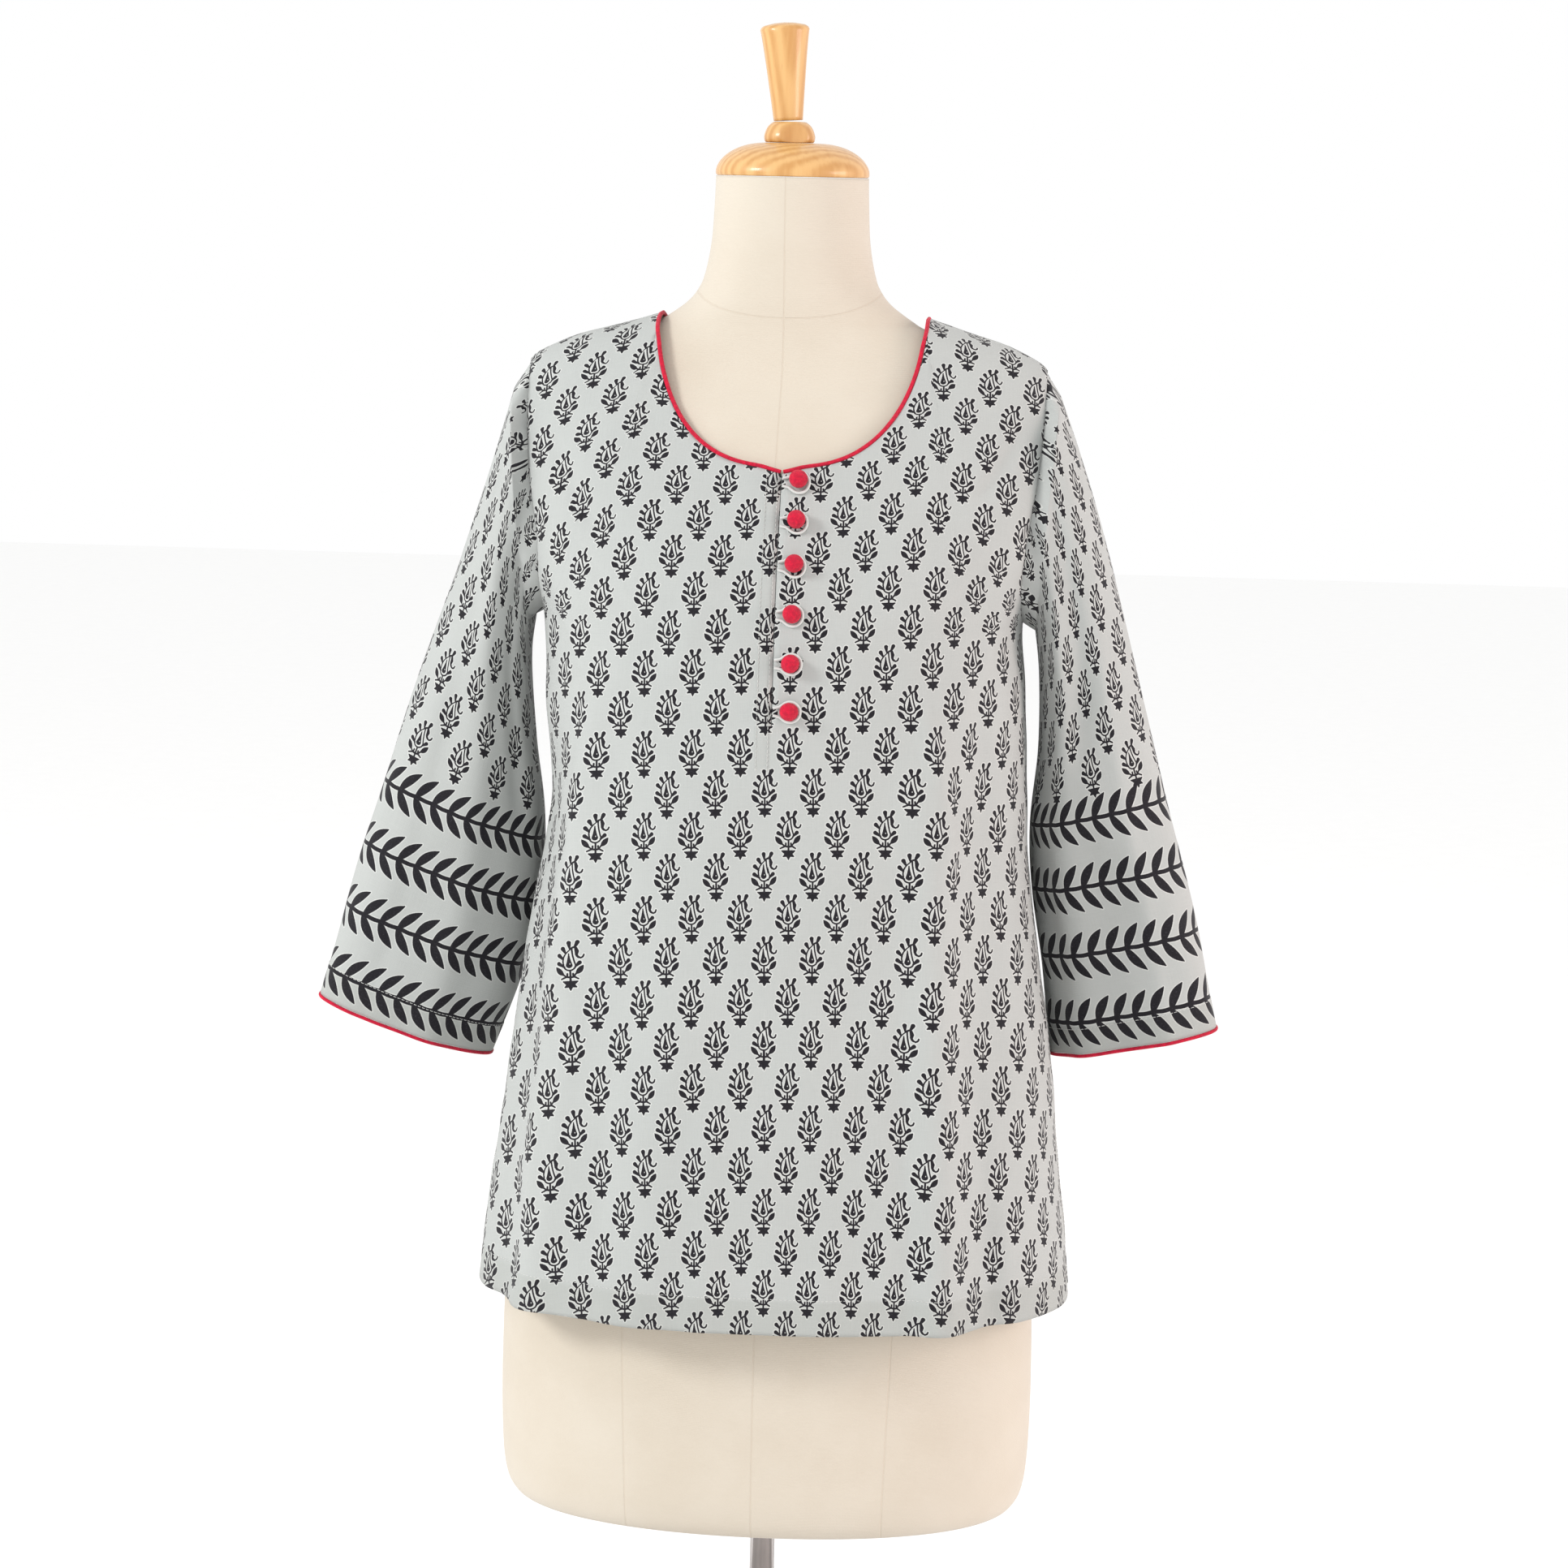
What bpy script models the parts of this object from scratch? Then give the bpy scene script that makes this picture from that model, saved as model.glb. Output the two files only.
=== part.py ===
"""Block-printed cotton tunic on a limbless dress form with a wooden cap and a round base.

The front faces -Y, +X is the right as seen from the front and +Z is up. The origin is the
middle of the base plate's underside. Left and right are as seen from the front.
"""
import math

import bmesh
import bpy
import numpy as np

# Cloth, seams and small parts
WALL = 0.0012
SEAM_GAP = 0.0003
CENTRE_X = 0.004
HEM_Z = 0.365
UNDERARM_Z = 0.840
SHOULDER_TIP_Z = 1.0128
NECK_POINT_Z = 1.046

# Neckline: half its width, its lowest points and how square its scoop is
NECK_HALF_WIDTH = 0.0925
NECK_FRONT_Z = 0.9472
NECK_BACK_Z = 1.012
NECK_POWER = 2.6
NOTCH_DEPTH = 0.0035
NOTCH_WIDTH = 0.010

# Button opening at the centre front
OPENING_FOOT_Z = 0.779
OPENING_GAP = 0.0005
UNDERLAP_LEFT = 0.007
UNDERLAP_RIGHT = 0.019
UNDERLAP_FOOT_Z = 0.760
UNDERLAP_GAP = 0.0005
UNDERLAP_WALL = 0.0010
BUTTON_RADIUS = 0.0062
BUTTON_OFFSET = 0.0118
BUTTON_HEIGHTS = (0.9385, 0.9125, 0.8845, 0.8530, 0.8212, 0.7895)
LOOP_RADIUS = 0.0010
LOOP_REACH = 0.0058
LOOP_LIFT = 0.0006
LOOP_INSET = 0.0004
LOOP_SWEEP = math.radians(125.0)
LOOP_STEPS = 6
LOOP_NECK_X = 0.90
LOOP_NECK_Z = 0.55
LOOP_END_Z = 0.40

# Piping
NECK_PIPING_RADIUS = 0.0015
NECK_PIPING_INSET = 0.0011
CUFF_PIPING_RADIUS = 0.0013
PIPING_GAP = 0.0004
CUFF_GAP = 0.0005
BESIDE = 0.003
BESIDE_DROP = 0.0003
SHOULDER_EASE = 0.0009
SHOULDER_EASE_Z = 1.026
SHOULDER_EASE_RISE = 0.012
ARMHOLE_GAP = 0.0009

# Side slits: how far each front and back edge draws back at the hem
SLIT_TOP_Z = 0.489
SLIT_OPENING = {"left": 0.006, "right": 0.011}
SLIT_POWER = 1.3
SLIT_START = 0.70

# Stand
BASE_RADIUS = 0.170
BASE_THICKNESS = 0.012
BASE_ROUND = 0.001
BASE_FALL = 0.004
BOSS_RADIUS = 0.021
BOSS_CHAMFER = 0.002
BOSS_TOP_Z = 0.030
POLE_RADIUS = 0.0089
FORM_FOOT_Z = 0.202
NECK_RIM_Z = 1.1400

# Wooden cap, bead and handle
CAP_RADIUS = 0.0526
CAP_TOP_Z = 1.1630
CAP_FLAT = 0.017
CAP_LIP = 0.003
CAP_EDGE = 0.0008
CAP_STEPS = 7
CAP_SWELL = 0.92
CAP_DROP = 1.15
BEAD_X = -0.0026
BEAD_HEIGHT = 0.0140
BEAD_PROFILE = (
    (0.0, 0.0140),
    (0.0112, 0.0140),
    (0.0135, 0.0122),
    (0.0158, 0.0092),
    (0.0172, 0.0055),
    (0.0174, 0.0022),
    (0.0166, 0.0),
    (0.0, 0.0),
)
HANDLE_HEIGHT = 0.0660
HANDLE_FOOT_RADIUS = 0.0100
HANDLE_TOP_RADIUS = 0.0168
HANDLE_LEAN = math.radians(-3.4)
HANDLE_SHIFT = 0.0012
HANDLE_SHOULDER = 0.0048
HANDLE_CROWN = ((0.0, 0.0), (0.45, 0.0006), (0.84, 0.0020), (1.0, HANDLE_SHOULDER))
HANDLE_STEPS = 5
HANDLE_TAPER = 0.85

# How finely each piece is divided
NECK_COLUMNS = 9
NECK_SPREAD = 1.5
SHOULDER_COLUMNS = 4
PANEL_ROWS = 20
BACK_ROWS = 18
SLEEVE_SIDES = 22
SLEEVE_ROWS = 14
ARMHOLE_ROW = 0.012
CUFF_ROW = 0.97
FORM_SIDES = 32
PATH_SAMPLES = 120
ROW_SPREAD = 1.5
EDGE_ROW = 0.0015
EDGE_PART = 0.988
EDGE_FADE = 0.12
FOLD_FADE = 0.25
SLEEVE_FOLD_FADE = 0.2
BESIDE_CENTRE = 1e-6
BASE_STEPS = 48
CAP_SIDES = 40
POLE_SIDES = 28

# Tunic body. One row for each level: half widths to the left and right of x = 0, depths to
# the front and back of y = 0, the panels' side edge, and how square the level is.
BODY_COLUMNS = ("z", "left", "right", "front", "back", "edge", "power")
BODY_LEVELS = (
    (0.365, 0.2050, 0.2125, 0.1500, 0.1420, 1.00, 2.35),
    (0.435, 0.1975, 0.2065, 0.1475, 0.1385, 1.00, 2.35),
    (0.506, 0.1880, 0.1985, 0.1450, 0.1345, 1.00, 2.35),
    (0.547, 0.1830, 0.1935, 0.1435, 0.1320, 1.00, 2.35),
    (0.607, 0.1750, 0.1850, 0.1415, 0.1280, 1.00, 2.35),
    (0.660, 0.1665, 0.1770, 0.1400, 0.1240, 1.00, 2.35),
    (0.718, 0.1600, 0.1735, 0.1385, 0.1190, 1.00, 2.35),
    (0.781, 0.1630, 0.1705, 0.1360, 0.1140, 1.00, 2.35),
    (0.840, 0.1665, 0.1675, 0.1320, 0.1100, 1.00, 2.30),
    (0.870, 0.1750, 0.1750, 0.1250, 0.1075, 0.945, 2.30),
    (0.903, 0.1820, 0.1830, 0.1115, 0.1040, 0.898, 2.30),
    (0.945, 0.1870, 0.1880, 0.0920, 0.0980, 0.903, 2.30),
    (0.974, 0.1880, 0.1890, 0.0745, 0.0900, 0.927, 2.25),
    (0.992, 0.1855, 0.1870, 0.0620, 0.0820, 0.956, 2.20),
    (1.0128, 0.1785, 0.1790, 0.0520, 0.0700, 1.00, 2.05),
    (1.0274, 0.1520, 0.1545, 0.0490, 0.0600, 1.00, 2.00),
    (1.0366, 0.1215, 0.1265, 0.0485, 0.0520, 1.00, 2.00),
    (1.046, 0.0885, 0.0965, 0.0475, 0.0460, 1.00, 2.00),
)

# Dress form. One row for each level.
FORM_COLUMNS = ("z", "half_width", "front", "back", "power")
FORM_LEVELS = (
    (0.2020, 0.1640, 0.0900, 0.0900, 2.15),
    (0.2034, 0.1740, 0.0975, 0.0975, 2.15),
    (0.2085, 0.1805, 0.1035, 0.1035, 2.15),
    (0.2170, 0.1848, 0.1075, 0.1075, 2.15),
    (0.2320, 0.1875, 0.1105, 0.1105, 2.15),
    (0.2600, 0.1890, 0.1120, 0.1120, 2.15),
    (0.3000, 0.1893, 0.1130, 0.1130, 2.15),
    (0.3600, 0.1875, 0.1125, 0.1140, 2.15),
    (0.4300, 0.1805, 0.1115, 0.1120, 2.15),
    (0.5000, 0.1680, 0.1060, 0.0990, 2.15),
    (0.5800, 0.1480, 0.0990, 0.0800, 2.20),
    (0.6600, 0.1345, 0.0950, 0.0670, 2.20),
    (0.7400, 0.1385, 0.1040, 0.0700, 2.25),
    (0.8000, 0.1500, 0.1190, 0.0800, 2.30),
    (0.8500, 0.1570, 0.1220, 0.0880, 2.30),
    (0.9000, 0.1630, 0.1085, 0.0930, 2.30),
    (0.9450, 0.1685, 0.0880, 0.0920, 2.30),
    (0.9800, 0.1730, 0.0650, 0.0815, 2.20),
    (0.9970, 0.1720, 0.0520, 0.0710, 2.10),
    (1.0070, 0.1680, 0.0462, 0.0630, 2.05),
    (1.0165, 0.1565, 0.0430, 0.0560, 2.00),
    (1.0250, 0.1350, 0.0415, 0.0505, 2.00),
    (1.0325, 0.1110, 0.0410, 0.0465, 2.00),
    (1.0392, 0.0920, 0.0410, 0.0450, 2.00),
    (1.0435, 0.0850, 0.0414, 0.0452, 2.00),
    (1.0482, 0.0780, 0.0420, 0.0456, 2.00),
    (1.0535, 0.0710, 0.0428, 0.0462, 2.00),
    (1.0600, 0.0650, 0.0437, 0.0470, 2.00),
    (1.0700, 0.0597, 0.0448, 0.0484, 2.00),
    (1.0940, 0.0547, 0.0485, 0.0505, 2.00),
    (1.1200, 0.0530, 0.0510, 0.0515, 2.00),
    (1.1400, 0.0523, 0.0522, 0.0522, 2.00),
)

# Largest folds of the body: soft ridges and troughs that run down a panel.
BODY_FOLD_COLUMNS = ("panel", "top_x", "top_z", "foot_x", "foot_z", "width", "depth")
BODY_FOLDS = (
    ("front", -0.118, 0.830, -0.160, 0.330, 0.017, 0.0055),
    ("front", -0.146, 0.820, -0.187, 0.330, 0.013, -0.0050),
    ("front", -0.060, 0.640, -0.078, 0.330, 0.024, 0.0025),
    ("front", 0.064, 0.640, 0.074, 0.330, 0.022, -0.0022),
    ("front", 0.104, 0.830, 0.128, 0.330, 0.017, 0.0060),
    ("front", 0.140, 0.830, 0.166, 0.330, 0.016, -0.0060),
    ("front", -0.168, 0.975, -0.118, 0.895, 0.008, -0.0030),
    ("front", 0.172, 0.985, 0.132, 0.920, 0.008, -0.0030),
    ("back", -0.110, 0.860, -0.142, 0.330, 0.018, 0.0055),
    ("back", -0.064, 0.760, -0.084, 0.330, 0.020, -0.0035),
    ("back", 0.012, 0.720, 0.020, 0.330, 0.024, 0.0035),
    ("back", 0.078, 0.800, 0.100, 0.330, 0.020, -0.0040),
    ("back", 0.120, 0.860, 0.152, 0.330, 0.018, 0.0050),
)

# Sleeves. One row for each section, armhole to cuff: its outer and inner ends, how far
# forward (-) or back (+) each end lies, and half its depth. x is measured from x = 0 outwards.
SLEEVE_COLUMNS = ("out_x", "out_z", "out_y", "in_x", "in_z", "in_y", "depth")
SLEEVE_SECTIONS = {
    "left": (
        (0.1885, 0.9930, 0.000, 0.1745, 0.8330, 0.002, 0.0560),
        (0.2095, 0.9220, 0.000, 0.1775, 0.8080, 0.006, 0.0530),
        (0.2250, 0.8760, 0.001, 0.1775, 0.7780, 0.012, 0.0500),
        (0.2395, 0.8355, 0.002, 0.1765, 0.7420, 0.020, 0.0475),
        (0.2650, 0.7600, 0.004, 0.1745, 0.6870, 0.034, 0.0440),
        (0.2870, 0.6900, 0.006, 0.1780, 0.6280, 0.044, 0.0410),
        (0.3045, 0.6310, 0.007, 0.1890, 0.5760, 0.044, 0.0380),
        (0.3245, 0.5590, 0.007, 0.2060, 0.5140, 0.038, 0.0350),
    ),
    "right": (
        (0.1880, 0.9950, 0.000, 0.1755, 0.8330, 0.002, 0.0560),
        (0.2080, 0.9420, 0.000, 0.1790, 0.8060, 0.006, 0.0530),
        (0.2225, 0.8950, 0.001, 0.1800, 0.7760, 0.012, 0.0500),
        (0.2350, 0.8520, 0.002, 0.1800, 0.7440, 0.018, 0.0475),
        (0.2570, 0.7660, 0.004, 0.1800, 0.6950, 0.028, 0.0440),
        (0.2750, 0.7010, 0.006, 0.1840, 0.6460, 0.036, 0.0410),
        (0.2955, 0.6250, 0.007, 0.1930, 0.5880, 0.038, 0.0380),
        (0.3110, 0.5580, 0.007, 0.2010, 0.5300, 0.036, 0.0350),
    ),
}
SLEEVE_POWER = 2.2

# Largest folds of the sleeves: the angle round the sleeve is 0 at its outer edge and
# 90 at its front; the start and end are parts of its length.
SLEEVE_FOLD_COLUMNS = ("side", "angle", "end_angle", "start", "end", "width", "depth")
SLEEVE_FOLDS = (
    ("left", 84, 108, 0.06, 1.20, 13, 0.0032),
    ("left", 118, 140, 0.04, 0.75, 12, -0.0040),
    ("left", 262, 240, 0.10, 1.20, 16, 0.0030),
    ("right", 80, 88, 0.06, 0.62, 12, -0.0040),
    ("right", 108, 122, 0.10, 1.20, 14, 0.0034),
    ("right", 250, 262, 0.12, 1.20, 16, 0.0030),
)

# Colours: red, green, blue, then metallic and roughness
FINISHES = {
    "printed_cotton": ((0.66, 0.69, 0.66), 0.0, 0.88),
    "red_silk": ((0.82, 0.015, 0.055), 0.0, 0.62),
    "cream_jersey": ((0.82, 0.76, 0.66), 0.0, 0.85),
    "honey_wood": ((0.72, 0.42, 0.14), 0.0, 0.42),
    "bright_steel": ((0.60, 0.58, 0.57), 1.0, 0.16),
    "grey_enamel": ((0.30, 0.29, 0.28), 0.0, 0.45),
}


def clear_scene():
    """Remove every object, so that the script always starts from an empty scene."""
    for item in list(bpy.data.objects):
        bpy.data.objects.remove(item, do_unlink=True)


def finish(name):
    """Return the material of one finish, made on first use."""
    material = bpy.data.materials.get(name)
    if material is None:
        colour, metallic, roughness = FINISHES[name]
        material = bpy.data.materials.new(name)
        material.use_nodes = True
        shader = material.node_tree.nodes["Principled BSDF"]
        shader.inputs["Base Color"].default_value = (*colour, 1.0)
        shader.inputs["Metallic"].default_value = metallic
        shader.inputs["Roughness"].default_value = roughness
        material.diffuse_color = (*colour, 1.0)
    return material


def add_object(name, data, collection, finish_name):
    """Link one object to the tunic's collection and give it its finish."""
    item = bpy.data.objects.new(name, data)
    collection.objects.link(item)
    data.materials.append(finish(finish_name))
    return item


def mesh_object(name, points, faces, collection, finish_name):
    """Make a mesh object from points and faces, with its faces turned outwards."""
    mesh = bpy.data.meshes.new(name)
    mesh.from_pydata([tuple(point) for point in points], [], faces)
    mesh.update()
    mesh.shade_smooth()
    return add_object(name, mesh, collection, finish_name)


def close_body(item):
    """Turn the faces of a closed mesh outwards."""
    shape = bmesh.new()
    shape.from_mesh(item.data)
    bmesh.ops.recalc_face_normals(shape, faces=shape.faces)
    shape.to_mesh(item.data)
    shape.free()


def add_wall(item, thickness=WALL):
    """Give an open sheet its wall, on the side away from its normals."""
    wall = item.modifiers.new("Wall", "SOLIDIFY")
    wall.thickness = thickness
    wall.offset = -1.0
    wall.use_rim = True


def add_tube(name, points, radius, collection, finish_name, cyclic=False, resolution=2):
    """Make a round tube along a list of points."""
    curve = bpy.data.curves.new(name, "CURVE")
    curve.dimensions = "3D"
    curve.bevel_depth = radius
    curve.bevel_resolution = resolution
    curve.use_fill_caps = not cyclic
    spline = curve.splines.new("POLY")
    spline.points.add(len(points) - 1)
    for target, point in zip(spline.points, points):
        target.co = (*point, 1.0)
    spline.use_cyclic_u = cyclic
    return add_object(name, curve, collection, finish_name)


def add_turned(name, profile, location, collection, finish_name, steps=32, lean=0.0):
    """Turn a profile of (radius, height) points about a vertical axis, top to bottom."""
    points = [(radius, 0.0, height) for radius, height in profile]
    edges = [(index, index + 1) for index in range(len(points) - 1)]
    mesh = bpy.data.meshes.new(name)
    mesh.from_pydata(points, edges, [])
    item = add_object(name, mesh, collection, finish_name)
    item.location = location
    item.rotation_euler = (0.0, lean, 0.0)
    screw = item.modifiers.new("Turn", "SCREW")
    screw.steps = steps
    screw.render_steps = steps
    screw.use_merge_vertices = True
    screw.merge_threshold = 0.00001
    screw.use_smooth_shade = True
    return item


def smooth_step(value):
    """Rise softly from 0 to 1 as the value goes from 0 to 1."""
    value = min(1.0, max(0.0, value))
    return value * value * (3.0 - 2.0 * value)


def curve_through(rows, column, place):
    """Read one column of a table on the smooth curve through its rows; column 0 is the place."""
    places = [row[0] for row in rows]
    values = [row[column] for row in rows]
    place = min(max(place, places[0]), places[-1])
    index = min(int(np.searchsorted(places, place, side="right")) - 1, len(rows) - 2)
    slopes = []
    for knot in (index, index + 1):
        low = max(knot - 1, 0)
        high = min(knot + 1, len(rows) - 1)
        slopes.append((values[high] - values[low]) / (places[high] - places[low]))
    span = places[index + 1] - places[index]
    part = (place - places[index]) / span
    start = (1.0 + 2.0 * part) * (1.0 - part) ** 2 * values[index]
    end = part * part * (3.0 - 2.0 * part) * values[index + 1]
    bend = part * (1.0 - part) ** 2 * slopes[0] - part * part * (1.0 - part) * slopes[1]
    return start + end + bend * span


def body_size(z, column):
    """Return one size of the tunic's body at a height."""
    return curve_through(BODY_LEVELS, BODY_COLUMNS.index(column), z)


def half_width(z, sign):
    """Return the body's half width from its own centre line, on the left (-1) or right (1)."""
    if sign < 0:
        return body_size(z, "left") + CENTRE_X
    return body_size(z, "right") - CENTRE_X


def shoulder_height(distance, sign):
    """Return the height of the shoulder seam at a distance from the tunic's centre line."""
    low, high = SHOULDER_TIP_Z, NECK_POINT_Z
    for _ in range(24):
        middle = 0.5 * (low + high)
        if half_width(middle, sign) > distance:
            low = middle
        else:
            high = middle
    return 0.5 * (low + high)


def top_edge(face, part):
    """Return the distance from the centre line and the height of a panel's top edge.

    The part runs from -1 at the left shoulder tip through 0 at the centre to 1 at the right.
    """
    sign = -1.0 if part < 0.0 else 1.0
    split = NECK_COLUMNS / (NECK_COLUMNS + SHOULDER_COLUMNS)
    size = abs(part)
    if size >= split:
        share = (size - split) / (1.0 - split)
        tip = half_width(SHOULDER_TIP_Z, sign)
        distance = NECK_HALF_WIDTH + (tip - NECK_HALF_WIDTH) * share
        return distance, shoulder_height(distance, sign)
    angle = 0.5 * math.pi * (1.0 - (1.0 - size / split) ** NECK_SPREAD)
    distance = NECK_HALF_WIDTH * math.sin(angle) ** (2.0 / NECK_POWER)
    corner = shoulder_height(NECK_HALF_WIDTH, sign)
    lowest = NECK_FRONT_Z if face == "front" else NECK_BACK_Z
    height = corner - (corner - lowest) * math.cos(angle)
    if face == "front":
        height -= NOTCH_DEPTH * math.exp(-((distance / NOTCH_WIDTH) ** 2))
    return distance, height


def fold_offset(face, x, z):
    """Return how far the folds push a panel outwards at a point."""
    total = 0.0
    for panel, top_x, top_z, foot_x, foot_z, width, depth in BODY_FOLDS:
        if panel != face or z > top_z or z < foot_z:
            continue
        share = (top_z - z) / (top_z - foot_z)
        middle = top_x + (foot_x - top_x) * share
        fade = smooth_step(share / FOLD_FADE)
        if foot_z > HEM_Z:
            fade *= smooth_step((1.0 - share) / FOLD_FADE)
        total += depth * fade * math.exp(-(((x - middle) / width) ** 2))
    return total


def slit_share(z, sign):
    """Return how far a side edge has drawn back from the seam where the slit is open."""
    if z >= SLIT_TOP_Z:
        return 0.0
    opening = SLIT_OPENING["left" if sign < 0 else "right"]
    return opening * ((SLIT_TOP_Z - z) / (SLIT_TOP_Z - HEM_Z)) ** SLIT_POWER


def panel_point(face, part, z):
    """Return the outer point of the front or back panel at a part of its width and a height."""
    sign = -1.0 if part < 0.0 else 1.0
    reach = half_width(z, sign)
    power = body_size(z, "power")
    edge_angle = math.asin(min(1.0, body_size(z, "edge")) ** (power / 2.0))
    distance = reach * math.sin(abs(part) * edge_angle) ** (2.0 / power)
    top_distance, top_z = top_edge(face, part)
    share = smooth_step((z - UNDERARM_Z) / (top_z - UNDERARM_Z))
    distance = min(reach, distance + (top_distance - distance) * share)
    facing = -1.0 if face == "front" else 1.0
    depth = body_size(z, face)
    y = facing * depth * max(0.0, 1.0 - (distance / reach) ** power) ** (1.0 / power)
    x = CENTRE_X + sign * distance
    edge_fade = smooth_step((1.0 - abs(part)) / EDGE_FADE)
    push = fold_offset(face, x, z) * edge_fade
    across = sign * distance / reach**2
    along = y / depth**2
    length = math.hypot(across, along)
    x += push * across / length
    y += push * along / length
    gap = 0.5 * SEAM_GAP + slit_share(z, sign)
    if abs(part) >= 1.0:
        y += facing * gap
    elif slit_share(z, sign) > 0.0:
        y += facing * gap * smooth_step((abs(part) - SLIT_START) / (1.0 - SLIT_START))
    if facing * y < 0.5 * SEAM_GAP:
        y = facing * 0.5 * SEAM_GAP
    return np.array((x, y, z))


def spread_along(points, count):
    """Return points along a path, closer together towards its end, where the body curves most."""
    points = np.array(points)
    steps = np.linalg.norm(np.diff(points, axis=0), axis=1)
    distance = np.concatenate(([0.0], np.cumsum(steps)))
    shares = [1.0 - (1.0 - index / count) ** ROW_SPREAD for index in range(count + 1)]
    wanted = [distance[-1] * share for share in shares]
    wanted.insert(count, distance[-1] - EDGE_ROW)
    return [
        np.array([np.interp(place, distance, points[:, axis]) for axis in range(3)])
        for place in wanted
    ]


def panel_column(face, part, rows):
    """Return the points of one column of a panel, from the hem to the top edge."""
    top_z = top_edge(face, part)[1]
    path = []
    for index in range(PATH_SAMPLES + 1):
        share = math.sin(0.5 * math.pi * index / PATH_SAMPLES)
        path.append(panel_point(face, part, HEM_Z + (top_z - HEM_Z) * share))
    return spread_along(path, rows)


def panel_parts():
    """Return the places of the columns over half a panel, the centre's own left out."""
    count = NECK_COLUMNS + SHOULDER_COLUMNS
    places = {float(index) for index in range(1, count + 1)}
    places |= {0.5, NECK_COLUMNS - 0.5, count * EDGE_PART}
    return [place / count for place in sorted(places)]


def build_front(collection):
    """Build the front panel, with its button opening cut down the centre."""
    side = panel_parts()
    parts = [-part for part in reversed(side)] + [-BESIDE_CENTRE, BESIDE_CENTRE] + side
    columns = [panel_column("front", part, PANEL_ROWS) for part in parts]
    left_edge = len(side)
    rows = len(columns[0])
    for row in range(rows):
        columns[left_edge][row][0] -= 0.5 * OPENING_GAP
        columns[left_edge + 1][row][0] += 0.5 * OPENING_GAP
    points = [point for column in columns for point in column]
    faces = []
    for column in range(len(columns) - 1):
        for row in range(rows - 1):
            middle_z = 0.5 * (columns[column][row][2] + columns[column][row + 1][2])
            if column == left_edge and middle_z > OPENING_FOOT_Z:
                continue
            start = column * rows + row
            faces.append((start, start + rows, start + rows + 1, start + 1))
    item = mesh_object("tunic_front", points, faces, collection, "printed_cotton")
    add_wall(item)


def build_back(collection):
    """Build the back panel."""
    side = panel_parts()
    parts = [-part for part in reversed(side)] + [0.0] + side
    columns = [panel_column("back", part, BACK_ROWS) for part in parts]
    rows = len(columns[0])
    points = [point for column in columns for point in column]
    faces = []
    for column in range(len(columns) - 1):
        for row in range(rows - 1):
            start = column * rows + row
            faces.append((start, start + 1, start + rows + 1, start + rows))
    item = mesh_object("tunic_back", points, faces, collection, "printed_cotton")
    add_wall(item)


def surface_depth(face, x, z):
    """Return how far forward or back a panel's plain surface lies at a point."""
    distance = abs(x - CENTRE_X)
    reach = half_width(z, 1.0 if x > CENTRE_X else -1.0)
    power = body_size(z, "power")
    facing = -1.0 if face == "front" else 1.0
    swell = max(0.0, 1.0 - (distance / reach) ** power) ** (1.0 / power)
    return facing * body_size(z, face) * swell


def surface_normal(face, x, z):
    """Return the outward direction of a panel's plain surface at a point."""
    step = 0.0005
    inner = x - math.copysign(step, x - CENTRE_X)
    across = (surface_depth(face, x, z) - surface_depth(face, inner, z)) / (x - inner)
    up = (surface_depth(face, x, z) - surface_depth(face, x, z - step)) / step
    facing = -1.0 if face == "front" else 1.0
    normal = np.array((-facing * across, facing, -facing * up))
    return normal / np.linalg.norm(normal)


def front_surface(x, z, lift=0.0):
    """Return the point of the front near the centre line, lifted off its outer face."""
    point = np.array((x, surface_depth("front", x, z), z))
    return point + lift * surface_normal("front", x, z)


def build_underlap(collection):
    """Build the narrow strip behind the button opening, from the front's own points."""
    first = panel_parts()[1]
    middle = panel_column("front", BESIDE_CENTRE, PANEL_ROWS)
    beside = {-1.0: panel_column("front", -first, PANEL_ROWS)}
    beside[1.0] = panel_column("front", first, PANEL_ROWS)
    top_z = NECK_FRONT_Z - NOTCH_DEPTH - PIPING_GAP
    rows = [row for row in range(len(middle)) if UNDERLAP_FOOT_Z < middle[row][2] < top_z]
    points = []
    for row in rows:
        for reach in (-UNDERLAP_LEFT, 0.0, UNDERLAP_RIGHT):
            side = beside[math.copysign(1.0, reach)]
            share = abs(reach) / abs(side[row][0] - CENTRE_X)
            point = middle[row] + (side[row] - middle[row]) * share
            inwards = -surface_normal("front", CENTRE_X + reach + BESIDE_CENTRE, point[2])
            points.append(point + inwards * (WALL + UNDERLAP_GAP))
    faces = []
    for row in range(len(rows) - 1):
        for column in range(2):
            start = row * 3 + column
            faces.append((start, start + 1, start + 4, start + 3))
    item = mesh_object("placket_underlap", points, faces, collection, "printed_cotton")
    add_wall(item, UNDERLAP_WALL)


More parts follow.
